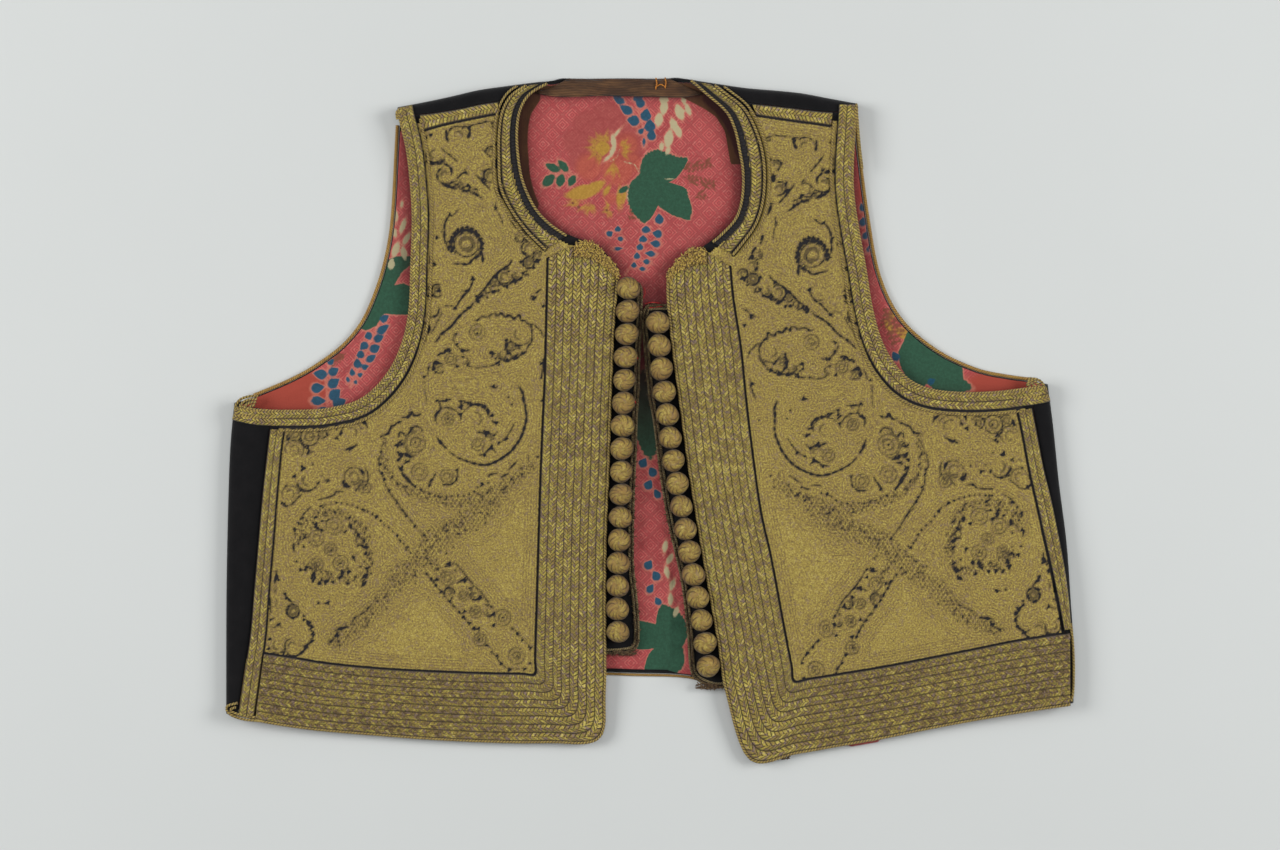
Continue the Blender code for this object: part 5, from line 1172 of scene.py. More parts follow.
def laid(x, y, depth):
    """Points of the back's flat pattern, this deep below its outer face, where they lie once folded."""
    x, y = np.asarray(x, float), np.asarray(y, float)
    depth = depth + np.zeros_like(x)
    found_x, found_y, found_z = x.copy(), y.copy(), depth.copy()
    folded = np.zeros(x.shape, bool)
    for toward_side in (-1, 1):
        turn_x = side_turn(toward_side, y)
        beyond = (x - turn_x) * toward_side
        here = (beyond > 0) & (y < 60.0)
        out, height = rolled(beyond, depth)
        found_x = np.where(here, turn_x + toward_side * out, found_x)
        found_z = np.where(here, height, found_z)
        folded |= here
    turn_y = shoulder_turn(x)
    here = (y > turn_y) & ~folded
    out, height = rolled(y - turn_y, depth)
    found_y = np.where(here, turn_y + out, found_y)
    found_z = np.where(here, height, found_z)
    return np.column_stack([found_x, found_y, found_z])


def unfolded(distance_in):
    """How far past the start of a fold a point lies in the pattern, from how far back in it lies on top."""
    before = HALF_TURN - FOLD_RADIUS * np.arcsin(np.clip(-distance_in / FOLD_RADIUS, 0.0, 1.0))
    return np.where(distance_in >= 0, HALF_TURN + distance_in, before)


def side_flap_point(side, x, y):
    turn_x = side_turn(side["toward_side"], y)
    return float(turn_x + side["toward_side"] * unfolded((turn_x - x) * side["toward_side"])), y


def shoulder_flap_point(x, y):
    turn_y = shoulder_turn(x)
    return x, float(turn_y + unfolded(turn_y - y))


def front_underside(side, x, y):
    """Height of the lowest face of a front over points of the plan."""
    from_side = (side["side_x"](y) - x) * side["toward_side"]
    from_shoulder = side["shoulder_y"](x) - y
    away = smooth_step(from_side / SEAM_REACH) * smooth_step(from_shoulder / SEAM_REACH)
    wave = 0.5 + 0.25 * np.sin(x / 17.0 + y / 41.0) + 0.25 * np.sin(y / 23.0 - x / 57.0)
    height = SEAM_HEIGHT + (REST_HEIGHT + WAVE * wave - SEAM_HEIGHT) * away
    from_centre = (x - side["centre_x"](y)) * side["toward_side"]
    over_strip = 1 - smooth_step((from_centre - STRIP_HOLD) / STRIP_REACH)
    height = height + np.maximum(STRIP_HEIGHT - height, 0) * over_strip
    past_hem = back_hem_y(x) - y
    return height - HEM_DROP * away * smooth_step((past_hem - 1.0) / HEM_REACH)


def cloth_top(side, x, y):
    """Height of the vest's outer face over points of the plan, on a front or where a fold falls away."""
    toward_side = side["toward_side"]
    past_side = np.where(y < 60.0, (x - side_turn(toward_side, y)) * toward_side, 0.0)
    past = np.maximum(np.maximum(past_side, y - shoulder_turn(x)), 0.0)
    falling = FOLD_RADIUS + np.sqrt(
        np.maximum(FOLD_RADIUS ** 2 - past ** 2, 0.0)
    ) + np.minimum(past, 1.0) * FOLD_CLEARANCE
    return np.where(past > 0, falling, front_underside(side, x, y) + FRONT_STACK)


def joined(*curves):
    """Curves laid end to end as one closed outline, without doubled points."""
    found = []
    for points in curves:
        for point in points:
            if not found or math.dist(point, found[-1]) > 0.8:
                found.append(tuple(map(float, point)))
    while math.dist(found[0], found[-1]) < 0.8:
        found.pop()
    return found


def is_inside(outline, x, y):
    """Whether points of the plan lie inside an outline."""
    outline = np.asarray(outline)
    found = np.zeros(np.shape(x), bool)
    for (ax, ay), (bx, by) in zip(outline, np.roll(outline, -1, axis=0)):
        if ay != by:
            found ^= ((ay > y) != (by > y)) & (x < ax + (bx - ax) * (y - ay) / (by - ay))
    return found


def off_path(path, x, y, closed=False):
    """Distance of points of the plan from a path."""
    path = np.asarray(path, float)
    ends = np.roll(path, -1, axis=0) if closed else path[1:]
    found = np.full(np.shape(x), np.inf)
    for (ax, ay), (bx, by) in zip(path, ends):
        way_x, way_y = bx - ax, by - ay
        long = max(way_x ** 2 + way_y ** 2, 1e-9)
        share = np.clip(((x - ax) * way_x + (y - ay) * way_y) / long, 0.0, 1.0)
        found = np.minimum(found, np.hypot(x - ax - way_x * share, y - ay - way_y * share))
    return found


def outside_by(outline, x, y):
    """How far points lie outside a closed outline; negative inside it."""
    return np.where(is_inside(outline, x, y), -1.0, 1.0) * off_path(outline, x, y, closed=True)


def inset(outline, distance):
    """An outline moved inward along each point's own normal."""
    points = np.array(outline)
    turned = 0.5 * np.sum(points[:, 0] * np.roll(points[:, 1], -1) - np.roll(points[:, 0], -1) * points[:, 1])
    along = np.roll(points, -1, axis=0) - np.roll(points, 1, axis=0)
    normal = np.column_stack([-along[:, 1], along[:, 0]]) * math.copysign(1, turned)
    normal /= np.linalg.norm(normal, axis=1)[:, None]
    amounts = np.array([distance(*p) if callable(distance) else distance for p in points])
    moved = points + normal * amounts[:, None]
    near = off_path(points, moved[:, 0], moved[:, 1], closed=True)
    return [tuple(p) for p, n, a in zip(moved, near, amounts) if n > abs(a) * 0.7]


def lattice(low, high, step):
    """Staggered points over a box of the plan."""
    rows = np.arange(low[1], high[1], step * 0.866)
    columns = np.arange(low[0], high[0], step)
    x, y = np.meshgrid(columns, rows)
    x = x + (np.arange(len(rows)) % 2)[:, None] * step / 2
    return x.ravel(), y.ravel()


def scatter(outline, spacing, keep_off=()):
    """Evenly staggered points inside an outline, off its edge and off the lines given."""
    x, y = lattice(np.min(outline, axis=0), np.max(outline, axis=0), spacing)
    near = off_path(outline, x, y, closed=True)
    for line in keep_off:
        near = np.minimum(near, off_path(line, x, y))
    kept = is_inside(outline, x, y) & (near > spacing * 0.5)
    return np.column_stack([x[kept], y[kept]])


def fill(outline, lines, loose):
    """Triangles that fill an outline and keep its edges and the lines given."""
    points = [np.array(outline, float)]
    edges = [(i, (i + 1) % len(outline)) for i in range(len(outline))]
    start = len(outline)
    for line in lines:
        points.append(np.array(line, float))
        edges += [(i, i + 1) for i in range(start, start + len(line) - 1)]
        start += len(line)
    points = np.vstack([*points, np.reshape(loose, (-1, 2))])
    spots, _, faces = delaunay_2d_cdt([Vector(p) for p in points.tolist()], edges, [], 0, 1e-3)[:3]
    spots, faces = np.array(spots), np.array(faces)
    middle = spots[faces].mean(axis=1)
    faces = faces[is_inside(outline, middle[:, 0], middle[:, 1])]
    used, faces = np.unique(faces, return_inverse=True)
    return spots[used], faces.reshape(-1, 3)


def rim_edges(faces):
    """The edges that only one face uses, each in that face's direction."""
    ends = np.concatenate([faces[:, [0, 1]], faces[:, [1, 2]], faces[:, [2, 0]]])
    _, index, count = np.unique(np.sort(ends, axis=1), axis=0, return_inverse=True, return_counts=True)
    return ends[count[index.reshape(-1)] == 1]


def two_skins(outline, outer, inner, lines=(), spacing=10.0, loose=None):
    """Points and faces of a sheet of cloth with thickness, and its flat pattern."""
    spots, faces = fill(outline, lines, scatter(outline, spacing, lines) if loose is None else loose)
    x, y = spots[:, 0], spots[:, 1]
    rim = rim_edges(faces)
    count = len(spots)
    points = np.vstack([outer(x, y), inner(x, y)])
    sides = np.column_stack([rim[:, 1], rim[:, 0], rim[:, 0] + count, rim[:, 1] + count])
    return points, faces.tolist() + (faces[:, ::-1] + count).tolist() + sides.tolist(), spots


def grid_faces(rows, columns, wrap=False):
    """Quads of a grid of points, row by row."""
    i, j = np.meshgrid(np.arange(rows - 1), np.arange(columns - (0 if wrap else 1)), indexing="ij")
    a = i * columns + j
    b = i * columns + (j + 1) % columns
    return np.stack([a, b, b + columns, a + columns], axis=-1).reshape(-1, 4)


def shift_of_vest():
    """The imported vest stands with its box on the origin, the tables above do not."""
    low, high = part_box("button_left_01")
    x, y = LEFT["buttons"][0]
    return np.array([(low[0] + high[0]) / 2 / MM - x, (low[1] + high[1]) / 2 / MM - y, 0.0])


SHIFT = shift_of_vest()


def make(name, points, faces, material, paint=None):
    """A mesh piece from millimetre points, with its painted values."""
    mesh = bpy.data.meshes.new(name)
    faces = faces if isinstance(faces, list) else faces.tolist()
    mesh.from_pydata(((np.asarray(points) + SHIFT) * MM).tolist(), [], faces)
    mesh.update()
    mesh.shade_smooth()
    for key, values in (paint or {}).items():
        mesh.attributes.new(key, "FLOAT", "POINT").data.foreach_set("value", np.asarray(values, np.float32))
    mesh.materials.append(bpy.data.materials[material])
    made = bpy.data.objects.new(name, mesh)
    bpy.context.scene.collection.objects.link(made)
    return made


def dress(piece, slot, *nodes):
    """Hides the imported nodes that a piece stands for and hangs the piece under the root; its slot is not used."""
    if nodes:
        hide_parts(*nodes)
    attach(piece, "root")
    return piece


def outline_area(outline):
    """Area of an outline in square metres."""
    points = np.array(outline)
    after = np.roll(points, -1, axis=0)
    return abs(np.sum(points[:, 0] * after[:, 1] - after[:, 0] * points[:, 1])) / 2 * MM ** 2


def sheet(piece, outline):
    points = np.array(outline)
    float(outline_area(outline))


def mend_outward(piece):
    """Turns a closed piece's faces outward."""
    work = bmesh.new()
    work.from_mesh(piece.data)
    bmesh.ops.recalc_face_normals(work, faces=work.faces)
    work.to_mesh(piece.data)
    work.free()


def cloth(name, skins, material, slot, node, paint=None):
    """A sheet of cloth as a dressed piece, from its two skins."""
    points, faces, _ = skins
    piece = make(name, points, faces, material, paint)
    mend_outward(piece)
    return dress(piece, slot, node)


def fold_lines():
    """Lines of the back's pattern along which its folds bend."""
    found = []
    for facet in range(FOLD_FACETS + 1):
        beyond = HALF_TURN * facet / FOLD_FACETS
        for toward_side, low, high in ((-1, -172.0, 24.0), (1, -172.0, 34.0)):
            y = np.linspace(low, high, 40)
            found.append(np.column_stack([side_turn(toward_side, y) + toward_side * beyond, y]))
        for first, last in ((-146.0, -53.0), (18.0, 118.0)):
            x = np.linspace(first, last, 24)
            found.append(np.column_stack([x, shoulder_turn(x) + beyond]))
    for first, last in ((-52.0, -38.0), (3.0, 17.0)):
        for beyond in (0.0, 1.6, 3.1, 4.7, 6.3):
            x = np.linspace(first, last, 5)
            found.append(np.column_stack([x, shoulder_turn(x) + beyond]))
    return found


def back_pattern():
    """The back with its side and shoulder flaps, flat and unfolded."""
    pieces = [curve(BACK_NECK, 3.0)]
    for side, armhole in ((RIGHT, RIGHT_BACK_ARMHOLE), (LEFT, LEFT_BACK_ARMHOLE)):
        seam = curve(side["shoulder"], 6.0)
        shoulder = [shoulder_flap_point(x, y + GAP) for x, y in seam]
        edge = beside(curve(armhole, 4.0), -side["toward_side"] * (PIPING + GAP))
        corner_x = side["armhole_on_shoulder"][0][0]
        turn_y = float(shoulder_turn(corner_x))
        over_shoulder = [(corner_x, turn_y + HALF_TURN * k / FOLD_FACETS) for k in range(FOLD_FACETS, -1, -1)]
        seam = curve(side["side"], 6.0)
        flap = [side_flap_point(side, x + side["toward_side"] * GAP, y) for x, y in seam]
        around = curve([tuple(edge[-1]), flap[-1]], 2.0)
        hem = beside(curve(BACK_HEM, 6.0), -(PIPING + GAP))
        if side is RIGHT:
            pieces += [shoulder[::-1], over_shoulder, edge, around, flap[::-1], hem]
        else:
            pieces += [flap, around[::-1], edge[::-1], over_shoulder[::-1], shoulder]
    return joined(*pieces)


def front_outline(side, step):
    """The front's edge, all the way round."""
    names = ("shoulder", "neckline", "centre", "hem", "side", "armhole")
    return joined(*[curve(side[name], step) for name in names])


def strip_outline(side):
    """The button strip's edge, all the way round."""
    return joined(curve(side["strip"], 6.0), curve(side["strip_under"], 20.0))


def ripple(x, y, seed, size):
    """Soft made-up waves over the plan, from -1 to 1."""
    dice = np.random.default_rng(seed)
    found = np.zeros(np.shape(x))
    for turn, phase, length in zip(
        dice.uniform(0, math.pi, 6), dice.uniform(0, 2 * math.pi, 6), dice.uniform(0.6, 1.7, 6),
    ):
        found = found + np.sin((x * math.cos(turn) + y * math.sin(turn)) / (size * length) * 2 * math.pi + phase)
    return found / 3.4


def build_back():
    """The black wool of the back, folded over at sides and shoulders."""
    outline = back_pattern()
    skins = two_skins(outline, lambda x, y: laid(x, y, 0.0), lambda x, y: laid(x, y, WOOL), fold_lines(), 9.0)
    sheet(cloth("back_wool", skins, "black_wool", "back_wool", "back"), outline)
    return outline


def leaf(x, y, at_x, at_y, length, width, degrees, tip=1.35, teeth=0.0, lean=0.0):
    """How far inside a leaf or petal points lie, in millimetres; negative outside."""
    turn = math.radians(degrees)
    a = ((x - at_x) * math.cos(turn) + (y - at_y) * math.sin(turn)) / (length / 2)
    b = (-(x - at_x) * math.sin(turn) + (y - at_y) * math.cos(turn)) / (width / 2)
    b = b / (1.0 - lean * a)
    edge = 1.0 + teeth * np.sin(a * length * 1.1)
    return (edge - (np.abs(a) ** tip + np.abs(b) ** 1.8) ** 0.62) * min(length, width) / 2


def vine_leaf(x, y, at_x, at_y, scale, turn, mirror):
    """How far inside a lobed leaf with a toothed edge points lie, in millimetres."""
    dx, dy = (x - at_x) * mirror, y - at_y
    angle = (np.degrees(np.arctan2(dy, dx)) - turn) % 360.0
    degrees, radii = zip(*VINE_EDGE)
    edge = np.interp(angle, degrees, radii) * scale
    teeth = 1.7 * np.abs((angle / 6.0) % 1.0 - 0.5) * np.clip(edge / 14.0, 0, 1)
    return (edge - 0.3 + teeth - np.hypot(dx, dy)) * 0.8


def discs(x, y, rows):
    """How far inside any of the discs points lie."""
    found = np.full(np.shape(x), NOT_PRINTED)
    for at_x, at_y, radius in rows:
        found = np.maximum(found, radius - np.hypot(x - at_x, y - at_y))
    return found


def print_values(x, y):
    """Painted values of the lining's print over points of the plan."""
    low = np.full(np.shape(x), NOT_PRINTED)

    def union(rows, teeth=0.0, grow=0.0, lean=0.0):
        found = low
        for row in rows:
            found = np.maximum(found, leaf(x, y, *row, teeth=teeth, lean=lean) + grow)
        return found

    green = union(GREEN_LEAVES, 0.03)
    for row in VINE_LEAVES:
        green = np.maximum(green, vine_leaf(x, y, *row))
    for around in ARMHOLE_LEAVES:
        green = np.maximum(green, -outside_by(around, x, y))
    values = {
        "blue": union(BLUE_LEAVES, lean=0.45), "cream": union(CREAM_PETALS), "green": green,
        "yellow": union(YELLOW_PETALS),
    }
    for at_x, at_y, inner, outer, start, end, step in RAYS:
        for number, degrees in enumerate(range(start, end, step)):
            turn = math.radians(degrees)
            long = (outer - inner) * (0.75 + 0.25 * math.cos(number * 2.3))
            middle = inner + long / 2
            ray = leaf(
                x, y, at_x + middle * math.cos(turn), at_y + middle * math.sin(turn), long, 1.7, degrees, 1.1,
            )
            values["yellow"] = np.maximum(values["yellow"], ray - 0.1)
    values["rose"] = discs(x, y, ROSE_PETALS)
    values["petal"] = discs(x, y, WARM_PETALS)
    folds = low
    for at_x, at_y, radius in ROSE_PETALS + WARM_PETALS:
        rim = 0.5 - np.abs(np.hypot(x - at_x, y - at_y) - radius * 0.94)
        folds = np.maximum(folds, np.where(x + y > at_x + at_y - radius * 0.6, rim, NOT_PRINTED) - 0.15)
    values["fold"] = folds
    for width, path in (
        (0.25, [(-16.2, 159.2), (-18.6, 157.0)]), (0.2, [(-16.8, 148.2), (-18.6, 144.0), (-22.4, 141.0)]),
        (0.3, [(-14.6, 141.4), (-9.0, 139.6), (-6.4, 136.0)]), (
            0.3, [(-11.6, 128.6), (-12.8, 124.4), (-12.2, 120.0)],
        ),
        (0.35, [(8.0, 131.7), (13.0, 131.7)]),
    ):
        values["cream"] = np.maximum(values["cream"], width - off_path(curve(path, 1.0), x, y))
    seeds = [(-29.0 - 2.6 * math.cos(k * 0.7), 149.0 + 3.8 * math.sin(k * 0.7), 0.45) for k in range(9)]
    seeds += [
        (-42.6, 118.6, 0.8), (-39.4, 116.4, 0.9), (-24.0, 114.6, 0.8), (-20.6, 113.6, 0.7),
        (-30.0, 143.6, 0.5),
    ]
    brown = discs(x, y, seeds)
    for ax, ay, bx, by in BROWN_FERNS:
        brown = np.maximum(brown, 0.3 - off_path([(ax, ay), (bx, by)], x, y))
        long = math.hypot(bx - ax, by - ay)
        way = ((bx - ax) / long, (by - ay) / long)
        for k in range(1, int(long / 1.7)):
            for turn in (-1, 1):
                sx, sy = ax + way[0] * 1.7 * k, ay + way[1] * 1.7 * k
                ex, ey = sx + way[0] * 2.2 - turn * way[1] * 2.6, sy + way[1] * 2.2 + turn * way[0] * 2.6
                brown = np.maximum(brown, 0.38 - off_path([(sx, sy), (ex, ey)], x, y))
    values["brown"] = brown
    stems = low
    for path in (
        [(-14.0, 79.0), (-8.0, 88.0), (-4.0, 96.0), (0.0, 106.0)],
        [(-53.0, 133.5), (-46.0, 135.5), (-40.0, 133.0)], [(-2.0, 150.0), (-4.0, 160.0), (-7.0, 170.0)],
        [(-147.5, 57.0), (-154.0, 42.0), (-165.0, 17.0)], [(-176.0, 34.0), (-178.4, 22.0), (-177.0, 6.0)],
    ):
        stems = np.maximum(stems, 0.5 - off_path(path, x, y))
    values["halo"] = np.maximum.reduce(
        [union(BLUE_LEAVES, grow=0.5, lean=0.45), union(CREAM_PETALS, grow=0.4), green + 0.5, stems]
    )
    values["plain_red"] = np.maximum(
        np.maximum(leaf(x, y, -205.0, 12.0, 70, 44, 10), leaf(x, y, 190.0, 17.0, 60, 26, 0)),
        leaf(x, y, 118.0, 125.0, 60, 14, 90),
    )
    edge_x, edge_y = zip(*FACING_EDGE)
    above = np.clip(y - np.interp(x, edge_x, edge_y) - 0.4, -6.0, 6.0)
    values["silk"] = np.where(np.abs(x + 17.0) < 60.0, above, NOT_PRINTED)
    return values


# Where the lining shows, so that it comes close to the back's edge: low x, high x, low y, high y
SEEN_AT_ARMHOLES = (100.0, 218.0, 10.0, 158.0)
SEEN_AT_HEM = (0.0, 60.0, -200.0, -140.0)
SEEN_INSET = 0.5
# Widths of the brown silk and of the shadow beside the neck edges: y, then millimetres
LEFT_SILK_BAND = ((108.0, 118.0, 142.0, 172.0), (-6.0, 2.6, 5.0, 6.0))
RIGHT_DARK_BAND = ((136.0, 147.0, 165.0, 176.0), (-1.0, 2.4, 4.2, 3.4))
# The lower edge of the silk at the right end of the neck: x, then y
RIGHT_SILK_END = ((14.0, 18.0, 24.0, 30.0, 36.0, 41.0, 44.0), (178.4, 176.4, 173.4, 170.2, 166.0, 158.0, 140.0))
# How dark the lining is between the fronts: y, then share
GAP_SHADE = ((-60.0, -24.0, -12.0, 22.0, 60.0, 66.0, 84.0), (0.0, 0.06, 0.35, 0.82, 0.86, 0.62, 0.0))
# A crease and a tuck of the lining, where it stands a little higher: x, y along them
LINING_CREASE = [(8.5, -52.0), (9.5, -80.0), (10.0, -110.0), (9.0, -140.0)]
LEFT_TUCK = [(-150.0, 47.0), (-163.0, 33.0), (-180.0, 22.0), (-200.0, 15.0)]


def shaded_print(x, y):
    """The print, with the shadows and the brown silk beside the fronts' edges."""
    values = print_values(x, y)
    shade = np.zeros(len(x))
    for side in (LEFT, RIGHT):
        near = off_path(front_outline(side, 4.0), x, y, closed=True)
        round_neck = smooth_step((y - 60.0) / 30.0)
        shade = np.maximum(shade, (0.30 + 0.36 * round_neck) * np.exp(-near / (3.0 + 1.5 * round_neck)))
        if side is LEFT:
            band = np.interp(y, *LEFT_SILK_BAND) - near
            band = np.where((x < -36.0) & (x > -80.0), band, NOT_PRINTED)
            values["silk"] = np.maximum(values["silk"], band)
        else:
            band = np.interp(y, *RIGHT_DARK_BAND) - near
            dark_band = 0.88 * smooth_step((band + 0.8) / 1.6) * (x > 20.0) * (x < 60.0)
            shade = np.maximum(shade, dark_band)
            end = np.where((x > 12.0) & (x < 60.0), y - np.interp(x, *RIGHT_SILK_END), NOT_PRINTED)
            values["silk"] = np.maximum(values["silk"], end)
    under_facing = np.interp(x, *zip(*FACING_EDGE)) - y
    shade = np.maximum(shade, 0.85 * np.exp(-np.abs(under_facing) / 1.7) * (y > 170.0))
    in_gap = smooth_step((12.0 - np.abs(x)) / 3.0)
    dark = np.interp(y, *GAP_SHADE)
    shade = np.maximum(shade, dark * in_gap)
    values["shade"] = shade
    return values


def build_lining(outline):
    """One sheet, fine where it shows through the neck, the front gap and the armholes."""
    def lining_inset(x, y):
        shows = any(
            low_x <= abs(x) <= high_x and low_y <= y <= high_y
            for low_x, high_x, low_y, high_y in (SEEN_AT_ARMHOLES, SEEN_AT_HEM)
        )
        return SEEN_INSET if shows else LINING_INSET

    edge = inset(outline, lining_inset)
    outer = WOOL + GAP
    x, y = lattice((-232.0, -150.0), (232.0, 190.0), bpy.context.scene.vest.lining_step)
    hidden = np.zeros(x.shape, bool)
    covers = [cover for side in (LEFT, RIGHT) for cover in (front_outline(side, 8.0), strip_outline(side))]
    for cover in covers:
        hidden |= outside_by(cover, x, y) < -4.0
    folds = (np.abs(x - side_turn(-1, y)) < 0.8) | (np.abs(x - side_turn(1, y)) < 0.8)
    kept = ~hidden & (outside_by(edge, x, y) < -0.6) & ~folds
    kept &= (y < shoulder_turn(x) - 0.4) & (x > side_turn(-1, y)) & (x < side_turn(1, y))
    fine = np.column_stack([x[kept], y[kept]])
    coarse = scatter(edge, 12.0, fold_lines())
    window = [is_inside(inset(front_outline(side, 8.0), 7.0), *coarse[:, :2].T) for side in (LEFT, RIGHT)]
    coarse = coarse[np.logical_or(*window) | (np.abs(coarse[:, 0]) > 236.0)]

    def inner(x, y):
        points = laid(x, y, outer + LINING)
        open_ = off_path(outline, x, y, closed=True) - 1.0
        for cover in covers:
            open_ = np.minimum(open_, outside_by(cover, x, y))
        ease = smooth_step(open_ / 9.0)
        soft = 0.35 * ripple(x, y, 5, 24.0) + 0.16 * ripple(x, y, 6, 9.0)
        crease = 1.5 * np.exp(-(off_path(LINING_CREASE, x, y) / 2.6) ** 2)
        tuck = 1.3 * np.exp(-(off_path(LEFT_TUCK, x, y) / 2.2) ** 2)
        points[:, 2] += ease * (0.4 + soft + crease + tuck)
        return points

    skins = two_skins(
        edge, lambda x, y: laid(x, y, outer), inner, fold_lines()[::2], loose=np.vstack([fine, coarse]),
    )
    x, y = skins[2].T
    values = shaded_print(x, y)
    paint = {key: np.concatenate([np.full(len(x), NOT_PRINTED), value]) for key, value in values.items()}
    paint["shade"][:len(x)] = 0.0
    sheet(cloth("lining_print", skins, "printed_lining", "lining", "back_lining", paint), edge)


def build_facing():
    """The brown silk inside the back neck."""
    neck = [(x, y - 0.3) for x, y in curve(BACK_NECK[3:8], 3.0)]
    outline = joined(curve(FACING_EDGE, 3.0), neck[::-1])

    def inner(x, y):
        points = laid(x, y, ON_LINING + FACING)
        points[:, 2] += 0.28 * np.sin(x / 3.1 + 0.6 * np.sin(y / 2.0)) * smooth_step((186.0 - y) / 6.0) + 0.1
        return points

    skins = two_skins(outline, lambda x, y: laid(x, y, ON_LINING), inner, fold_lines()[::2], 1.8)
    sheet(cloth("facing_silk", skins, "ribbed_silk", "facing", "neck_facing"), outline)


def field_place(side, x, y):
    """Where points of a front fall on the left front's field of motifs."""
    if side is LEFT:
        return x, y
    dx, dy = x - RIGHT_MOVE[0], y - RIGHT_MOVE[1]
    c, s = math.cos(RIGHT_TURN), math.sin(RIGHT_TURN)
    return -(dx * c + dy * s), -dx * s + dy * c


def stroke(x, y, rows, half):
    """How far points lie outside a hand-sewn line that swells and tapers, in millimetres, near the line only."""
    path = curve(rows, 0.6)
    along = np.linspace(0, math.pi, len(path))
    width = half * (0.35 + 0.75 * np.sin(along) ** 0.6) * (
        1 + 0.35 * np.sin(np.arange(len(path)) * 0.9 + rows[0][0])
    )
    low, high = path.min(axis=0) - 6.0, path.max(axis=0) + 6.0
    near = np.flatnonzero((x > low[0]) & (x < high[0]) & (y > low[1]) & (y < high[1]))
    found = np.full(x.shape, 9.0)
    if len(near):
        off = np.hypot(x[near, None] - path[:, 0], y[near, None] - path[:, 1]) - width
        found[near] = off.min(axis=1)
    return found


def arc(x, y, radius, start, end):
    """Points along part of a circle, by degrees."""
    turn = np.radians(np.linspace(start, end, max(4, int(radius * abs(end - start) / 57.3 / 1.5))))
    return [(x + radius * math.cos(t), y + radius * math.sin(t)) for t in turn]


def field_values(side, x, y):
    """Painted values of the couched field: open black gaps, faint rings, and cords that echo the motifs."""
    x, y = field_place(side, x, y)
    dice = np.random.default_rng(side["seed"])
    if side is RIGHT:
        x = x + 0.8 * ripple(x, y, side["seed"] + 1, 30.0)
        y = y + 0.8 * ripple(x, y, side["seed"] + 2, 30.0)
    gap = np.full(x.shape, 9.0)
    ring = gap.copy()
    for at_x, at_y, radius, start, end, half in ROUNDS:
        off = stroke(x, y, arc(at_x, at_y, radius, start, end), half)
        if half > FAINT:
            gap = np.minimum(gap, off)
        ring = np.minimum(ring, off)
        if radius > 2.2:
            ring = np.minimum(ring, stroke(x, y, arc(at_x, at_y, radius * 0.5, start - 60, end - 60), half))
    for half, rows in BLACK_LINES:
        gap = np.minimum(gap, stroke(x, y, rows, half))
    for at_x, at_y, size in CORNERS:
        turn = dice.uniform(0, 2 * math.pi)
        away, angle = np.hypot(x - at_x, y - at_y), np.arctan2(y - at_y, x - at_x)
        gap = np.minimum(gap, away - size * (0.70 + 0.42 * np.cos(3 * (angle - turn))))
    for size, space, rows in PICOTS:
        for at_x, at_y in curve(rows, space):
            gap = np.minimum(gap, np.abs(x - at_x) * 0.75 + np.abs(y - at_y) * 0.75 - size * 0.8)
    loops = np.zeros(x.shape)
    for half, rows in LOOPS:
        loops = np.maximum(loops, smooth_step(1.4 - off_path(curve(rows, 2.0), x, y) / half))
        middle = curve(rows, 1.5)
        for at_x, at_y in middle + dice.uniform(-1.0, 1.0, middle.shape) * half:
            gap = np.minimum(gap, np.hypot(x - at_x, y - at_y) - 0.30)
    return {"gap": gap, "ring": np.minimum(ring, gap), "loops": loops}


def frame_edges(side):
    """The inner edges of the braids round the field, each with the way into the field."""
    into = side["toward_side"]
    armhole = beside(curve(side["armhole"], 3.0), into * side["armhole_width"])
    border = spline(side["border"], 4)[:, 2:]
    found = {
        "armhole": (armhole, into),
        "border": (border, -into),
        "neck": (spline(side["neck_braid"], 4)[:, 2:], into),
        "shoulder": (spline(side["shoulder_braid"], 4)[:, 2:], -into),
        "side": (spline(side["side_braid"], 4)[:, 2:], into),
    }
    return {key: (evenly(path, 2.0), way) for key, (path, way) in found.items()}


def build_front(side):
    """A front's black wool and its lining."""
    name = side["name"]
    outline = front_outline(side, 5.0)

    def lifted(extra):
        return lambda x, y: np.column_stack([x, y, front_underside(side, x, y) + extra])

    skins = two_skins(outline, lifted(FRONT_STACK - 0.35), lifted(LINING + GAP), (), 7.0)
    wool = cloth("front_wool_" + name, skins, "black_wool", "couched_gold", "front_" + name)

    def lining_inset(x, y):
        shows = side["lining_shows"]
        if shows and shows[0] < x < shows[1] and y < -150.0:
            return -1.6
        return LINING_INSET

    inner_edge = inset(front_outline(side, 5.0), lining_inset)
    skins = two_skins(inner_edge, lifted(LINING), lifted(0.0), (), 9.0)
    x, y = skins[2].T
    values = print_values(x, y)
    values["shade"], values["silk"] = np.zeros(len(x)), np.full(len(x), NOT_PRINTED)
    paint = {key: np.concatenate([value, value]) for key, value in values.items()}
    lining = cloth("front_lining_print_" + name, skins, "printed_lining", "lining", "front_lining_" + name, paint)
    sheet(lining, inner_edge)
    return wool, outline


# How far inside the front's edge the gold starts, low at the right side and elsewhere
COUCHING_INSETS = (1.5, 4.2)
# How far the gold runs on under the border
UNDER_BORDER = 3.0
# Width of the black left open along each braid
BLACK_EDGES = {"armhole": 0.3, "border": 1.0, "neck": 0.7, "shoulder": 0.75, "side": 0.5}


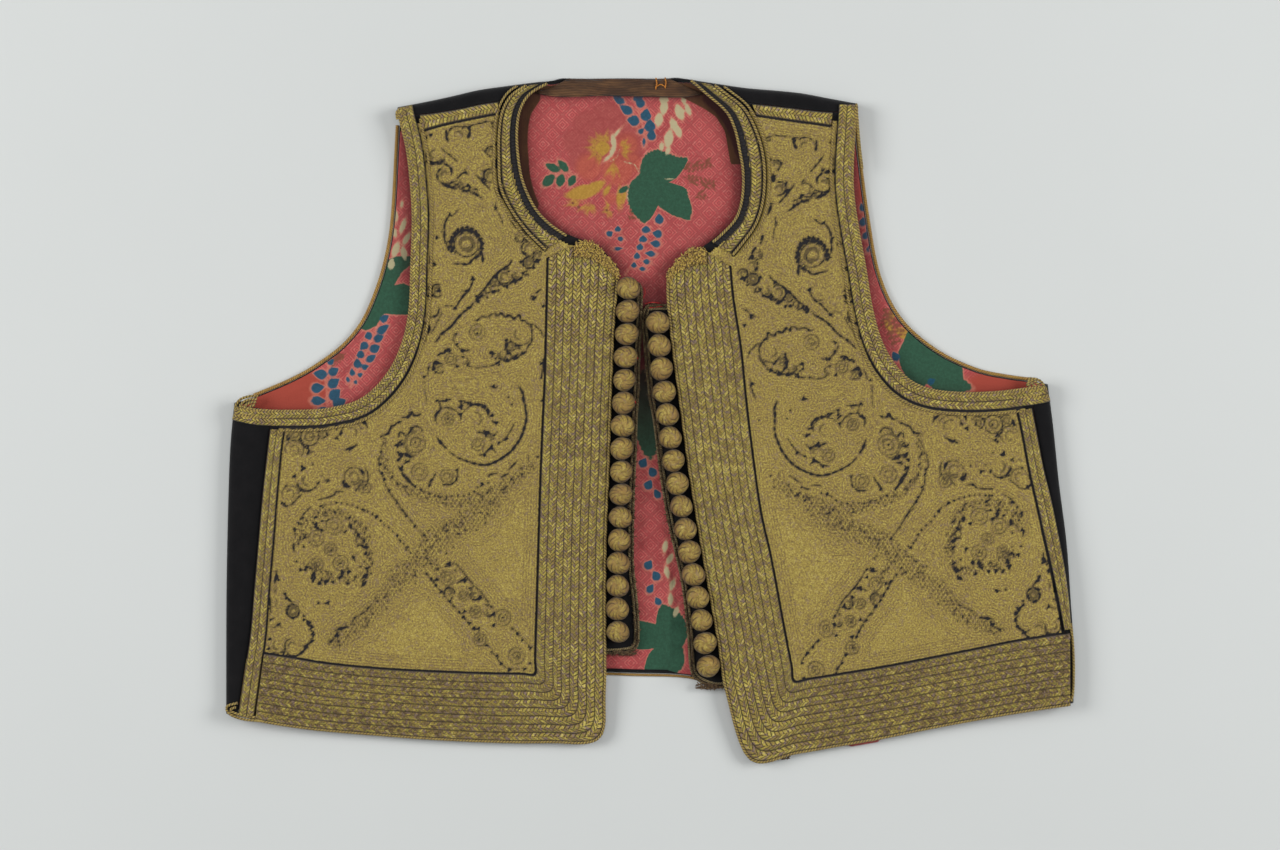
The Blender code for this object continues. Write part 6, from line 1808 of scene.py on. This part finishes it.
def build_couching(side):
    """The field of gold cord sewn down over the wool: ridges that follow the motifs, with black between."""
    step = bpy.context.scene.vest.couching_step
    outline = front_outline(side, 8.0)
    low, high = np.min(outline, axis=0), np.max(outline, axis=0)
    columns, rows = np.arange(low[0], high[0], step), np.arange(low[1], high[1], step)
    x, y = np.meshgrid(columns, rows)
    x, y = x.ravel(), y.ravel()
    low_side = (side is RIGHT) & (x > 150.0) & (y < -95.0)
    kept = outside_by(outline, x, y) < -np.where(low_side, *COUCHING_INSETS)
    border = spline(side["border"], 3)
    band = np.vstack([border[:, :2], border[::-1, 2:]])
    kept &= outside_by(band, x, y) >= -UNDER_BORDER
    faces = grid_faces(len(rows), len(columns))
    faces = faces[kept[faces].all(axis=1)]
    used, faces = np.unique(faces, return_inverse=True)
    faces = faces.reshape(-1, 4)
    x, y = x[used], y[used]
    values = field_values(side, x, y)
    low_down = smooth_step((55.0 - y) / 40.0)
    black = {**BLACK_EDGES, "armhole": 0.3 + 0.75 * low_down}
    if side is RIGHT:
        black["side"] = 0.8 + 0.6 * smooth_step((-40.0 - y) / 60.0)
    for key, (path, _) in frame_edges(side).items():
        edges = off_path(path, x, y)
        values["gap"] = np.minimum(values["gap"], edges - black[key])
        values["ring"] = np.minimum(values["ring"], edges)
    solid = smooth_step(values["gap"] / 0.9 + 0.4)
    crown = 0.30 * smooth_step(values["gap"] / 3.2) + 0.22 * smooth_step(values["ring"] / 2.2)
    cords = 0.06 * np.sin(values["ring"] * 2 * math.pi / 2.3)
    grain = (0.06 + 0.05 * values["loops"]) * np.random.default_rng(side["seed"]).standard_normal(len(x))
    height = cloth_top(side, x, y) - 0.25 + solid * (0.42 + crown + cords + grain)
    return make("couching_" + side["name"], np.column_stack([x, y, height]), faces, "sewn_gold", values)


def armhole_rows(side):
    """Rows across the armhole braid, from the side fold up over the shoulder."""
    edge = np.vstack([
        side["armhole_on_side"][:0:-1], curve(side["armhole"], 4.0), side["armhole_on_shoulder"][-2::-1],
    ])
    into = side["toward_side"]
    return np.column_stack([beside(edge, into * BRAID_SET_IN), beside(edge, into * side["armhole_width"])])


def braid_grid(rows, across_count, step, peak):
    """Places across and along a band, with the real distance along it."""
    dense = spline(rows, 12)
    middle = (dense[:, :2] + dense[:, 2:]) / 2
    along = np.concatenate([[0], np.cumsum(np.linalg.norm(np.diff(middle, axis=0), axis=1))])
    wanted = np.linspace(0, along[-1], max(4, round(along[-1] / step)) + 1)
    stations = np.column_stack([np.interp(wanted, along, dense[:, k]) for k in range(4)])
    share = np.linspace(0.0, 1.0, across_count)
    x = stations[:, 0:1] + (stations[:, 2:3] - stations[:, 0:1]) * share
    y = stations[:, 1:2] + (stations[:, 3:4] - stations[:, 1:2]) * share
    number = np.interp(wanted, along, np.arange(len(dense)) / 12)
    y = y + peak * np.maximum(1 - number / 2, 0)[:, None] * 4 * share * (1 - share)
    return x, y, np.broadcast_to(share, x.shape), np.broadcast_to(wanted[:, None], x.shape)


def build_braid(side, kind, plaits):
    """Plaited braid: each plait has its crest and its slanting strands in the mesh itself."""
    step = bpy.context.scene.vest.braid_step
    rows = armhole_rows(side) if kind == "armhole_braid" else side[kind]
    rows = np.array(rows, float)
    wide = np.linalg.norm(rows[:, :2] - rows[:, 2:], axis=1).max()
    count = int(wide / step) + 3
    peak = side["border_peak"] if kind == "border" else 0.0
    x, y, share, along = braid_grid(rows, count, step, peak)
    first, last = PLAITED[kind]
    across = np.clip((share - first) / (last - first), -0.2, 1.2) * plaits
    black = np.where((share < first) | (share > last), 1.0, 0.0)
    in_plait = np.abs(across % 1.0 - 0.5) * 2
    crest = np.sqrt(np.maximum(1 - in_plait ** 2 * 0.96, 0.0))
    half = across % 1.0 > 0.5
    slant = np.abs(np.sin(math.pi * (along / STRAND_PITCH + STRAND_LEAN * in_plait + 0.5 * half)))
    flatter = 1.0 - 0.7 * smooth_step((along - 270.0) / 20.0) * (kind == "border")
    rise = BRAID_RISE - (BRAID_RISE - BRAID_VALLEY * 0.6) * flatter * (1.0 - crest) + 0.22 * (slant - 0.5) * crest
    rise = np.where(black > 0.5, 0.25, rise)
    if kind == "side_braid":
        black = np.where(y < -131.0, 0.0, black)
    dice = np.random.default_rng(side["seed"] + len(kind))
    rise = rise + 0.05 * dice.standard_normal(rise.shape)
    height = cloth_top(side, x, y) + GAP * 0.5 + np.maximum(rise, 0.1)
    lines, columns = x.shape
    top = np.stack([x, y, height], axis=-1)
    skirt = [top[:, :1] * 1.0, top, top[:, -1:] * 1.0]
    for edge in (skirt[0], skirt[2]):
        edge[..., 2] = (cloth_top(side, edge[..., 0], edge[..., 1]) - 0.1)
    grid = np.concatenate(skirt, axis=1)
    ends = [grid[:1] * 1.0, grid[-1:] * 1.0]
    for end in ends:
        end[..., 2] = cloth_top(side, end[..., 0], end[..., 1]) - 0.1
    grid = np.concatenate([ends[0], grid, ends[1]], axis=0)

    def padded(values):
        return np.pad(values, 1, mode="edge").ravel()

    values = {"across": padded(across), "along": padded(along), "black": padded(black)}
    faces = grid_faces(lines + 2, columns + 2)
    piece = make(f"{kind}_plaits_{side['name']}", grid.reshape(-1, 3), faces, "gold_plait", values)
    turn_up(piece)
    dress(piece, "braid", f"{kind}_{side['name']}")
    return piece


def turn_up(piece):
    """Turns an open sheet's faces so that most of them look up."""
    mesh = piece.data
    normals = np.empty(len(mesh.polygons) * 3)
    mesh.polygons.foreach_get("normal", normals)
    if normals[2::3].sum() < 0:
        mesh.flip_normals()


def rope_mesh(paths, radius, strands=2, pitch=3.4, sides=10, step=0.55):
    """Points, faces and values of twisted cords along paths in space."""
    points, faces, lobes, alongs = [], [], [], []
    start = 0
    for number, path in enumerate(paths):
        path = evenly(np.asarray(path, float), step)
        way = np.gradient(path, axis=0)
        way /= np.linalg.norm(way, axis=1)[:, None]
        out = np.column_stack([way[:, 1], -way[:, 0], np.zeros(len(way))])
        out /= np.maximum(np.linalg.norm(out, axis=1), 1e-9)[:, None]
        up = np.cross(out, way)
        along = np.arange(len(path)) * step
        turn = np.linspace(0, 2 * math.pi, sides, endpoint=False)
        lobe = np.cos(strands * (turn[None, :] - 2 * math.pi * along[:, None] / pitch) + number)
        size = radius * (0.86 + 0.14 * lobe)
        ring = out[:, None] * (
            np.cos(turn)[None, :] * size
        )[..., None] + up[:, None] * (np.sin(turn)[None, :] * size)[..., None]
        points.append((path[:, None] + ring).reshape(-1, 3))
        faces.append(grid_faces(len(path), sides, wrap=True) + start)
        lobes.append(lobe.ravel())
        alongs.append(np.repeat(along + 40.0 * number, sides))
        start += len(path) * sides
    return np.vstack(points), np.vstack(faces), {"lobe": np.concatenate(lobes), "along": np.concatenate(alongs)}


def rope(name, paths, radius, material, slot, *nodes, **cut):
    """Twisted cords along paths, as one dressed piece."""
    points, faces, values = rope_mesh(paths, radius, **cut)
    return dress(make(name, points, faces, material, values), slot, *nodes)


def at_height(path, height):
    """A level path, from its plan."""
    return np.column_stack([path, np.full(len(path), height)])


def on_cloth(side, path, above):
    """A path of the plan, laid at a height over a front."""
    path = np.asarray(path, float)
    return np.column_stack([path, cloth_top(side, path[:, 0], path[:, 1]) + above])


def build_frame_cords(side):
    """Thin cords round the field, inside the black line along each braid, and along the braids' outer edges."""
    edges = frame_edges(side)
    paths = []
    for key, (path, way) in edges.items():
        path = path[2:-2] if key != "border" else path
        paths.append(on_cloth(side, beside(path, way * 2.3), 0.75))
    border, way = edges["border"]
    down = border[: int(len(border) * 0.45)]
    for off in (5.2, 7.2):
        paths.append(on_cloth(side, beside(down, way * off)[6:], 0.55))
    field = rope("field_cords_" + side["name"], paths, 0.72, "gold_cord", "couched_gold")
    outer = []
    hem = spline(side["border"], 6)[:, :2]
    outer.append(on_cloth(side, evenly(hem, 2.0), 0.95))
    neck = spline(side["neck_braid"], 6)
    for share in (0.06, 0.97):
        path = neck[:, :2] + (neck[:, 2:] - neck[:, :2]) * share
        outer.append(on_cloth(side, evenly(path, 2.0), 0.9))
    armhole = armhole_rows(side)
    outer.append(on_cloth(side, evenly(armhole[2:-1, :2], 2.0), 0.9))
    for row in side["loose_cords"]:
        outer.append(on_cloth(side, curve(row, 1.0), 0.9))
    return [field, rope("edge_cords_" + side["name"], outer, 0.85, "gold_cord", "braid")]


def build_tufts(side):
    """Frayed ends of the border's plaits, which stand in loops at its top."""
    dice = np.random.default_rng(side["seed"] + 40)
    top = np.array(side["border"][0], float)
    paths = []
    for _ in range(330):
        share = dice.uniform(0.0, 0.62)
        x = top[0] + (top[2] - top[0]) * share
        y = top[1] + (top[3] - top[1]) * share + side["border_peak"] * 4 * share * (1 - share)
        y += dice.uniform(-5.0, 0.8 + 3.0 * smooth_step(1 - abs(share - 0.4) * 2.6))
        turn = dice.uniform(0, math.pi)
        long = dice.uniform(1.2, 2.8)
        rise = dice.uniform(0.5, 1.6)
        t = np.linspace(0, math.pi, 7)
        px = x + math.cos(turn) * long * np.cos(t) * 0.6
        py = y + math.sin(turn) * long * np.cos(t) * 0.6
        pz = cloth_top(side, px, py) + 1.5 + rise * np.sin(t)
        paths.append(np.column_stack([px, py, pz]))
    return rope("border_tufts_" + side["name"], paths, 0.34, "bright_cord", "braid", **FRAY)


def build_piping():
    """The cords at the back's armholes and hem."""
    middle = PIPING / 2
    for side, rows in ((LEFT, LEFT_BACK_ARMHOLE), (RIGHT, RIGHT_BACK_ARMHOLE)):
        path = beside(curve(rows, 4.0), -side["toward_side"] * middle * 0.9)[1:-1]
        rope(
            "armhole_cord_" + side["name"], [at_height(path, middle + 1.2)], middle * 1.35, "orange_cord", "piping",
            "armhole_piping_" + side["name"], **THREE_PLY,
        )
    path = beside(curve(BACK_HEM, 6.0), -middle)[2:-2]
    rope("hem_cord", [at_height(path, middle)], middle, "orange_cord", "piping", "hem_piping", **THREE_PLY)


def build_strip(side):
    """A button strip with its chain-stitched edge."""
    edge = curve(side["strip"], 3.0)
    outline = joined(edge, curve(side["strip_under"], 8.0))

    def top(x, y):
        return np.column_stack([x, y, ON_LINING + STRIP + 0.12 * ripple(x, y, 9, 14.0)])

    skins = two_skins(outline, top, lambda x, y: np.column_stack([x, y, ON_LINING + 0 * x]), (), 4.0)
    name = side["name"]
    piece = cloth("strip_wool_" + name, skins, "black_wool", "strip_wool", "button_strip_" + name)
    into = side["toward_side"]
    paths = [at_height(beside(edge, into * off), ON_LINING + height) for off, height in ((0.2, 0.9), (2.0, 1.2))]
    stitched = rope("strip_edge_" + name, paths, 0.8, "dull_cord", "strip_wool", pitch=2.6)
    sheet(piece, outline)


def build_buttons(side):
    """Balls wound with thread in wedges that meet at a crown, which their paint makes pale as a painted highlight.
    """
    dice = np.random.default_rng(side["seed"] + 70)
    places = evenly(spline(side["buttons"], 6), count=BUTTONS_A_SIDE)
    points, faces, values = [], [], {"wedge": [], "along": [], "rise": [], "ball": []}
    for number, (x, y) in enumerate(places):
        turn = np.linspace(0, 2 * math.pi, BALL_ROUNDS, endpoint=False)[None, :]
        lift = np.linspace(-BUTTON_FOOT, 0.5 * math.pi, BALL_RINGS)[:, None]
        spin = dice.uniform(0, 2 * math.pi)
        twist = turn + spin + 1.25 * (lift / (math.pi / 2)) + 0.3 * np.sin(2 * turn + spin)
        bundle = np.abs(np.sin(twist * BALL_WEDGES / 2)) ** 0.6
        thread = np.abs(np.sin(twist * BALL_WEDGES * 2.5 + 0.8 * np.sin(lift * 3)))
        size = 1.0 + (0.055 * (bundle - 1.0) + 0.018 * (thread - 0.5)) * np.cos(lift)
        size = size + 0.03 * np.sin(2 * turn + spin) + 0.015 * np.sin(3 * turn - spin) + 0 * lift
        lean = dice.uniform(-0.35, 0.35, 2)
        radius = BUTTON_RADIUS * dice.uniform(1.06, 1.12)
        squash = dice.uniform(0.95, 0.985)
        px = x + radius * size * np.cos(lift) * np.cos(turn) + lean[0] * (lift > 0) * np.sin(lift)
        py = y + radius * squash * size * np.cos(lift) * np.sin(turn) + lean[1] * (lift > 0) * np.sin(lift)
        bottom = math.sin(BUTTON_FOOT)
        pz = STRIP_HEIGHT + BUTTON_HEIGHT * (np.sin(lift) * size + bottom) / (1 + bottom) + 0 * turn
        points.append(np.stack([px, py, pz], axis=-1).reshape(-1, 3))
        base = number * BALL_ROUNDS * BALL_RINGS
        faces.append(grid_faces(BALL_RINGS, BALL_ROUNDS, wrap=True) + base)
        values["wedge"].append(((twist % (2 * math.pi)) / (2 * math.pi) * BALL_WEDGES).ravel())
        values["along"].append((radius * lift + 0 * turn).ravel())
        # rise runs from foot to crown; the thread's paint reads it for the painted highlight on top and the painted
        # shade low down
        values["rise"].append(((np.sin(lift) + 1) / 2 + 0 * turn).ravel())
        values["ball"].append(np.full(BALL_ROUNDS * BALL_RINGS, float(number + 20 * (side is RIGHT))))
    values = {key: np.concatenate(parts) for key, parts in values.items()}
    piece = make("thread_balls_" + side["name"], np.vstack(points), np.vstack(faces), "wound_thread", values)
    nodes = [f"button_{side['name']}_{k:02d}" for k in range(1, BUTTONS_A_SIDE + 1)]
    dress(piece, "button_thread", *nodes)
    shanks = []
    for x, y in places:
        for off in (-2.6, 2.6):
            shanks.append(
                [
                    (x - side["toward_side"] * 0.5, y + off, STRIP_HEIGHT + 0.1),
                    (x + side["toward_side"] * 5.0, y + off * 0.7, STRIP_HEIGHT + 0.2),
                ]
            )
    rope("ball_threads_" + side["name"], shanks, 0.45, "dull_cord", "button_thread", pitch=2.0, sides=6)


# Loose ends: material, radius, then x, y, height along each
LOOSE_ENDS = (
    ("red_thread", 0.42, [(-7.8, 70.4, 10.2), (-6.6, 70.0, 10.8), (-6.4, 69.0, 10.2), (-7.2, 68.6, 9.8)]),
    ("red_thread", 0.45, [(-9.0, 34.4, 10.4), (-7.8, 34.0, 11.0), (-7.0, 33.2, 10.2), (-8.2, 33.0, 9.8)]),
    ("red_thread", 0.42, [(-9.8, 10.2, 10.2), (-8.8, 9.8, 10.8), (-8.2, 8.8, 10.0), (-9.2, 8.6, 9.6)]),
    ("red_thread", 0.3, [(-4.0, 66.0, 5.0), (-3.0, 69.5, 5.6), (-3.6, 72.0, 4.4)]),
    ("red_thread", 0.35, [(-3.0, 63.2, 4.3), (0.5, 64.0, 5.0), (5.5, 63.6, 4.4)]),
    ("red_thread", 0.3, [(-2.6, 60.8, 4.3), (1.5, 61.2, 4.8), (6.5, 61.8, 4.4)]),
    ("orange_thread", 0.5, [(3.0, 187.2, 2.6), (3.4, 184.0, 4.6), (2.8, 181.0, 3.9)]),
    ("orange_thread", 0.45, [(8.0, 187.4, 2.6), (8.4, 184.5, 4.5), (8.0, 181.6, 3.9)]),
    ("orange_thread", 0.4, [(2.6, 182.0, 4.0), (5.5, 183.6, 4.4), (8.4, 182.2, 4.0)]),
)


# Frayed brown ends: x, y, height, spread along x and y, how many threads
FRAYED = ((70.0, -185.4, 2.6, 5.0, 1.2, 80), (31.5, -146.6, 4.6, 6.0, 1.4, 60), (-14.0, -128.4, 4.6, 6.0, 1.0, 36))


def build_frayed():
    """Short brown ends at the hem and along the strips."""
    dice = np.random.default_rng(91)
    paths = []
    for x, y, z, wide, high, count in FRAYED:
        for _ in range(count):
            turn = dice.uniform(-0.5, 0.5) + math.pi * dice.integers(0, 2)
            long = dice.uniform(0.8, 2.2)
            bend = dice.uniform(-0.8, 0.8)
            t = np.linspace(-1, 1, 6)
            px = x + dice.uniform(-wide, wide) + long * t * math.cos(turn) - bend * t * t * math.sin(turn)
            py = y + dice.uniform(-high, high) + long * t * math.sin(turn) + bend * t * t * math.cos(turn)
            paths.append(np.column_stack([px, py, z + dice.uniform(-0.8, 0.8) + 0.4 * (1 - t * t)]))
    for side in (LEFT, RIGHT):
        for x, y in curve(side["strip"], 1.1):
            turn, long = dice.uniform(0, 2 * math.pi), dice.uniform(0.6, 1.5)
            t = np.linspace(-1, 1, 5)
            x = x + side["toward_side"] * dice.uniform(-0.6, 2.4)
            px, py = x + long * t * math.cos(turn), y + long * t * math.sin(turn)
            paths.append(np.column_stack([px, py, dice.uniform(4.6, 5.6) + 0.5 * (1 - t * t)]))
    rope("frayed_ends", paths, 0.3, "brown_thread", "braid", **FRAY)


def build_loose_ends():
    """The frayed ends, and red and orange threads come loose."""
    build_frayed()
    for number, (material, radius, path) in enumerate(LOOSE_ENDS, 1):
        rope(f"loose_thread_{number}", [spline(path, 8)], radius, material, "lining", pitch=1.8, sides=8, step=0.4)


def build_floor():
    """The surface that the vest lies on."""
    size = 1600.0
    steps = np.linspace(-size, size, 9)
    x, y = np.meshgrid(steps, steps)
    points = np.column_stack([x.ravel(), y.ravel(), np.full(x.size, -0.05)]) - SHIFT
    floor = make("pale_floor_sheet", points, grid_faces(9, 9), "pale_floor")
    turn_up(floor)


# x, y, height and size of each soft light in metres, and its power in watts
LIGHTS = (
    ("left_softbox", (-1.5, 0.25, 1.25), 1.0, 21.0),
    ("right_softbox", (1.5, 0.25, 1.25), 1.0, 21.0),
    ("top_fill", (0.0, 0.2, 2.6), 1.6, 9.6),
)
CAMERA = (-5.775, -3.3, 2200.0)
LENS = 112.5


def build_lights():
    """Soft lights and a pale world."""
    for name, place, size, watts in LIGHTS:
        data = bpy.data.lights.new(name, "AREA")
        data.energy = watts
        data.size = size
        light = bpy.data.objects.new(name, data)
        light.location = place
        light.rotation_euler = (-Vector(place)).to_track_quat("-Z", "Y").to_euler()
        bpy.context.scene.collection.objects.link(light)
    world = bpy.data.worlds.new("studio")
    world.use_nodes = True
    world.node_tree.nodes["Background"].inputs["Color"].default_value = (0.95, 0.97, 1.0, 1.0)
    world.node_tree.nodes["Background"].inputs["Strength"].default_value = 0.21
    bpy.context.scene.world = world
    bpy.context.scene.view_settings.view_transform = "Standard"


def build_camera():
    """The camera, straight above."""
    data = bpy.data.cameras.new("camera")
    data.lens = LENS
    data.sensor_width = 36.0
    camera = bpy.data.objects.new("camera", data)
    camera.location = [(c + s) * MM for c, s in zip(CAMERA, SHIFT)]
    bpy.context.scene.collection.objects.link(camera)
    bpy.context.scene.camera = camera


class VestSettings(bpy.types.PropertyGroup):
    """How finely the pieces of the vest are meshed, in millimetres."""

    couching_step: bpy.props.FloatProperty(
        name="Couching step", description="Grid of the gold field in millimetres", default=0.9,
    )
    braid_step: bpy.props.FloatProperty(
        name="Braid step", description="Grid of the braids in millimetres", default=0.7,
    )
    lining_step: bpy.props.FloatProperty(
        name="Lining step", description="Grid of the print that shows, in millimetres", default=1.1,
    )


class VEST_OT_materials(bpy.types.Operator):
    """Makes the shared effects and the materials"""
    bl_idname = "vest.materials"
    bl_label = "Materials"

    def execute(self, context):
        build_materials()
        return {"FINISHED"}


class VEST_OT_back(bpy.types.Operator):
    """Makes the back of black wool, its printed lining, the neck facing and the piping"""
    bl_idname = "vest.back"
    bl_label = "Back"

    def execute(self, context):
        outline = build_back()
        build_lining(outline)
        build_facing()
        build_piping()
        return {"FINISHED"}


class VEST_OT_fronts(bpy.types.Operator):
    """Makes each front: wool, couched field, cords and braids"""
    bl_idname = "vest.fronts"
    bl_label = "Fronts"

    def execute(self, context):
        for side in (LEFT, RIGHT):
            wool, outline = build_front(side)
            worn = [dress(build_couching(side), "couched_gold")]
            worn += [build_braid(side, kind, plaits) for kind, plaits in BRAIDS]
            worn += build_frame_cords(side)
            worn.append(build_tufts(side))
            sheet(wool, outline)
        return {"FINISHED"}


class VEST_OT_closing(bpy.types.Operator):
    """Makes the button strips, the thread balls and the loose ends"""
    bl_idname = "vest.closing"
    bl_label = "Strips and balls"

    def execute(self, context):
        for side in (LEFT, RIGHT):
            build_strip(side)
            build_buttons(side)
        build_loose_ends()
        return {"FINISHED"}


class VEST_OT_stage(bpy.types.Operator):
    """Makes the floor, the lights and the camera"""
    bl_idname = "vest.stage"
    bl_label = "Stage"

    def execute(self, context):
        build_floor()
        build_lights()
        build_camera()
        return {"FINISHED"}


class VEST_PT_panel(bpy.types.Panel):
    """Vest pieces in the sidebar"""
    bl_idname = "VEST_PT_panel"
    bl_label = "Vest"
    bl_space_type = "VIEW_3D"
    bl_region_type = "UI"
    bl_category = "Vest"

    def draw(self, context):
        settings = context.scene.vest
        for name in ("couching_step", "braid_step", "lining_step"):
            self.layout.prop(settings, name)
        for operator in STEPS:
            self.layout.operator(operator.bl_idname)


STEPS = (VEST_OT_materials, VEST_OT_back, VEST_OT_fronts, VEST_OT_closing, VEST_OT_stage)
CLASSES = (VestSettings, *STEPS, VEST_PT_panel)


def register():
    for made in CLASSES:
        bpy.utils.register_class(made)
    bpy.types.Scene.vest = bpy.props.PointerProperty(type=VestSettings)


def unregister():
    del bpy.types.Scene.vest
    for made in reversed(CLASSES):
        bpy.utils.unregister_class(made)


def main():
    register()
    bpy.ops.vest.materials()
    bpy.ops.vest.back()
    bpy.ops.vest.fronts()
    bpy.ops.vest.closing()
    bpy.ops.vest.stage()


if __name__ == "__main__":
    main()
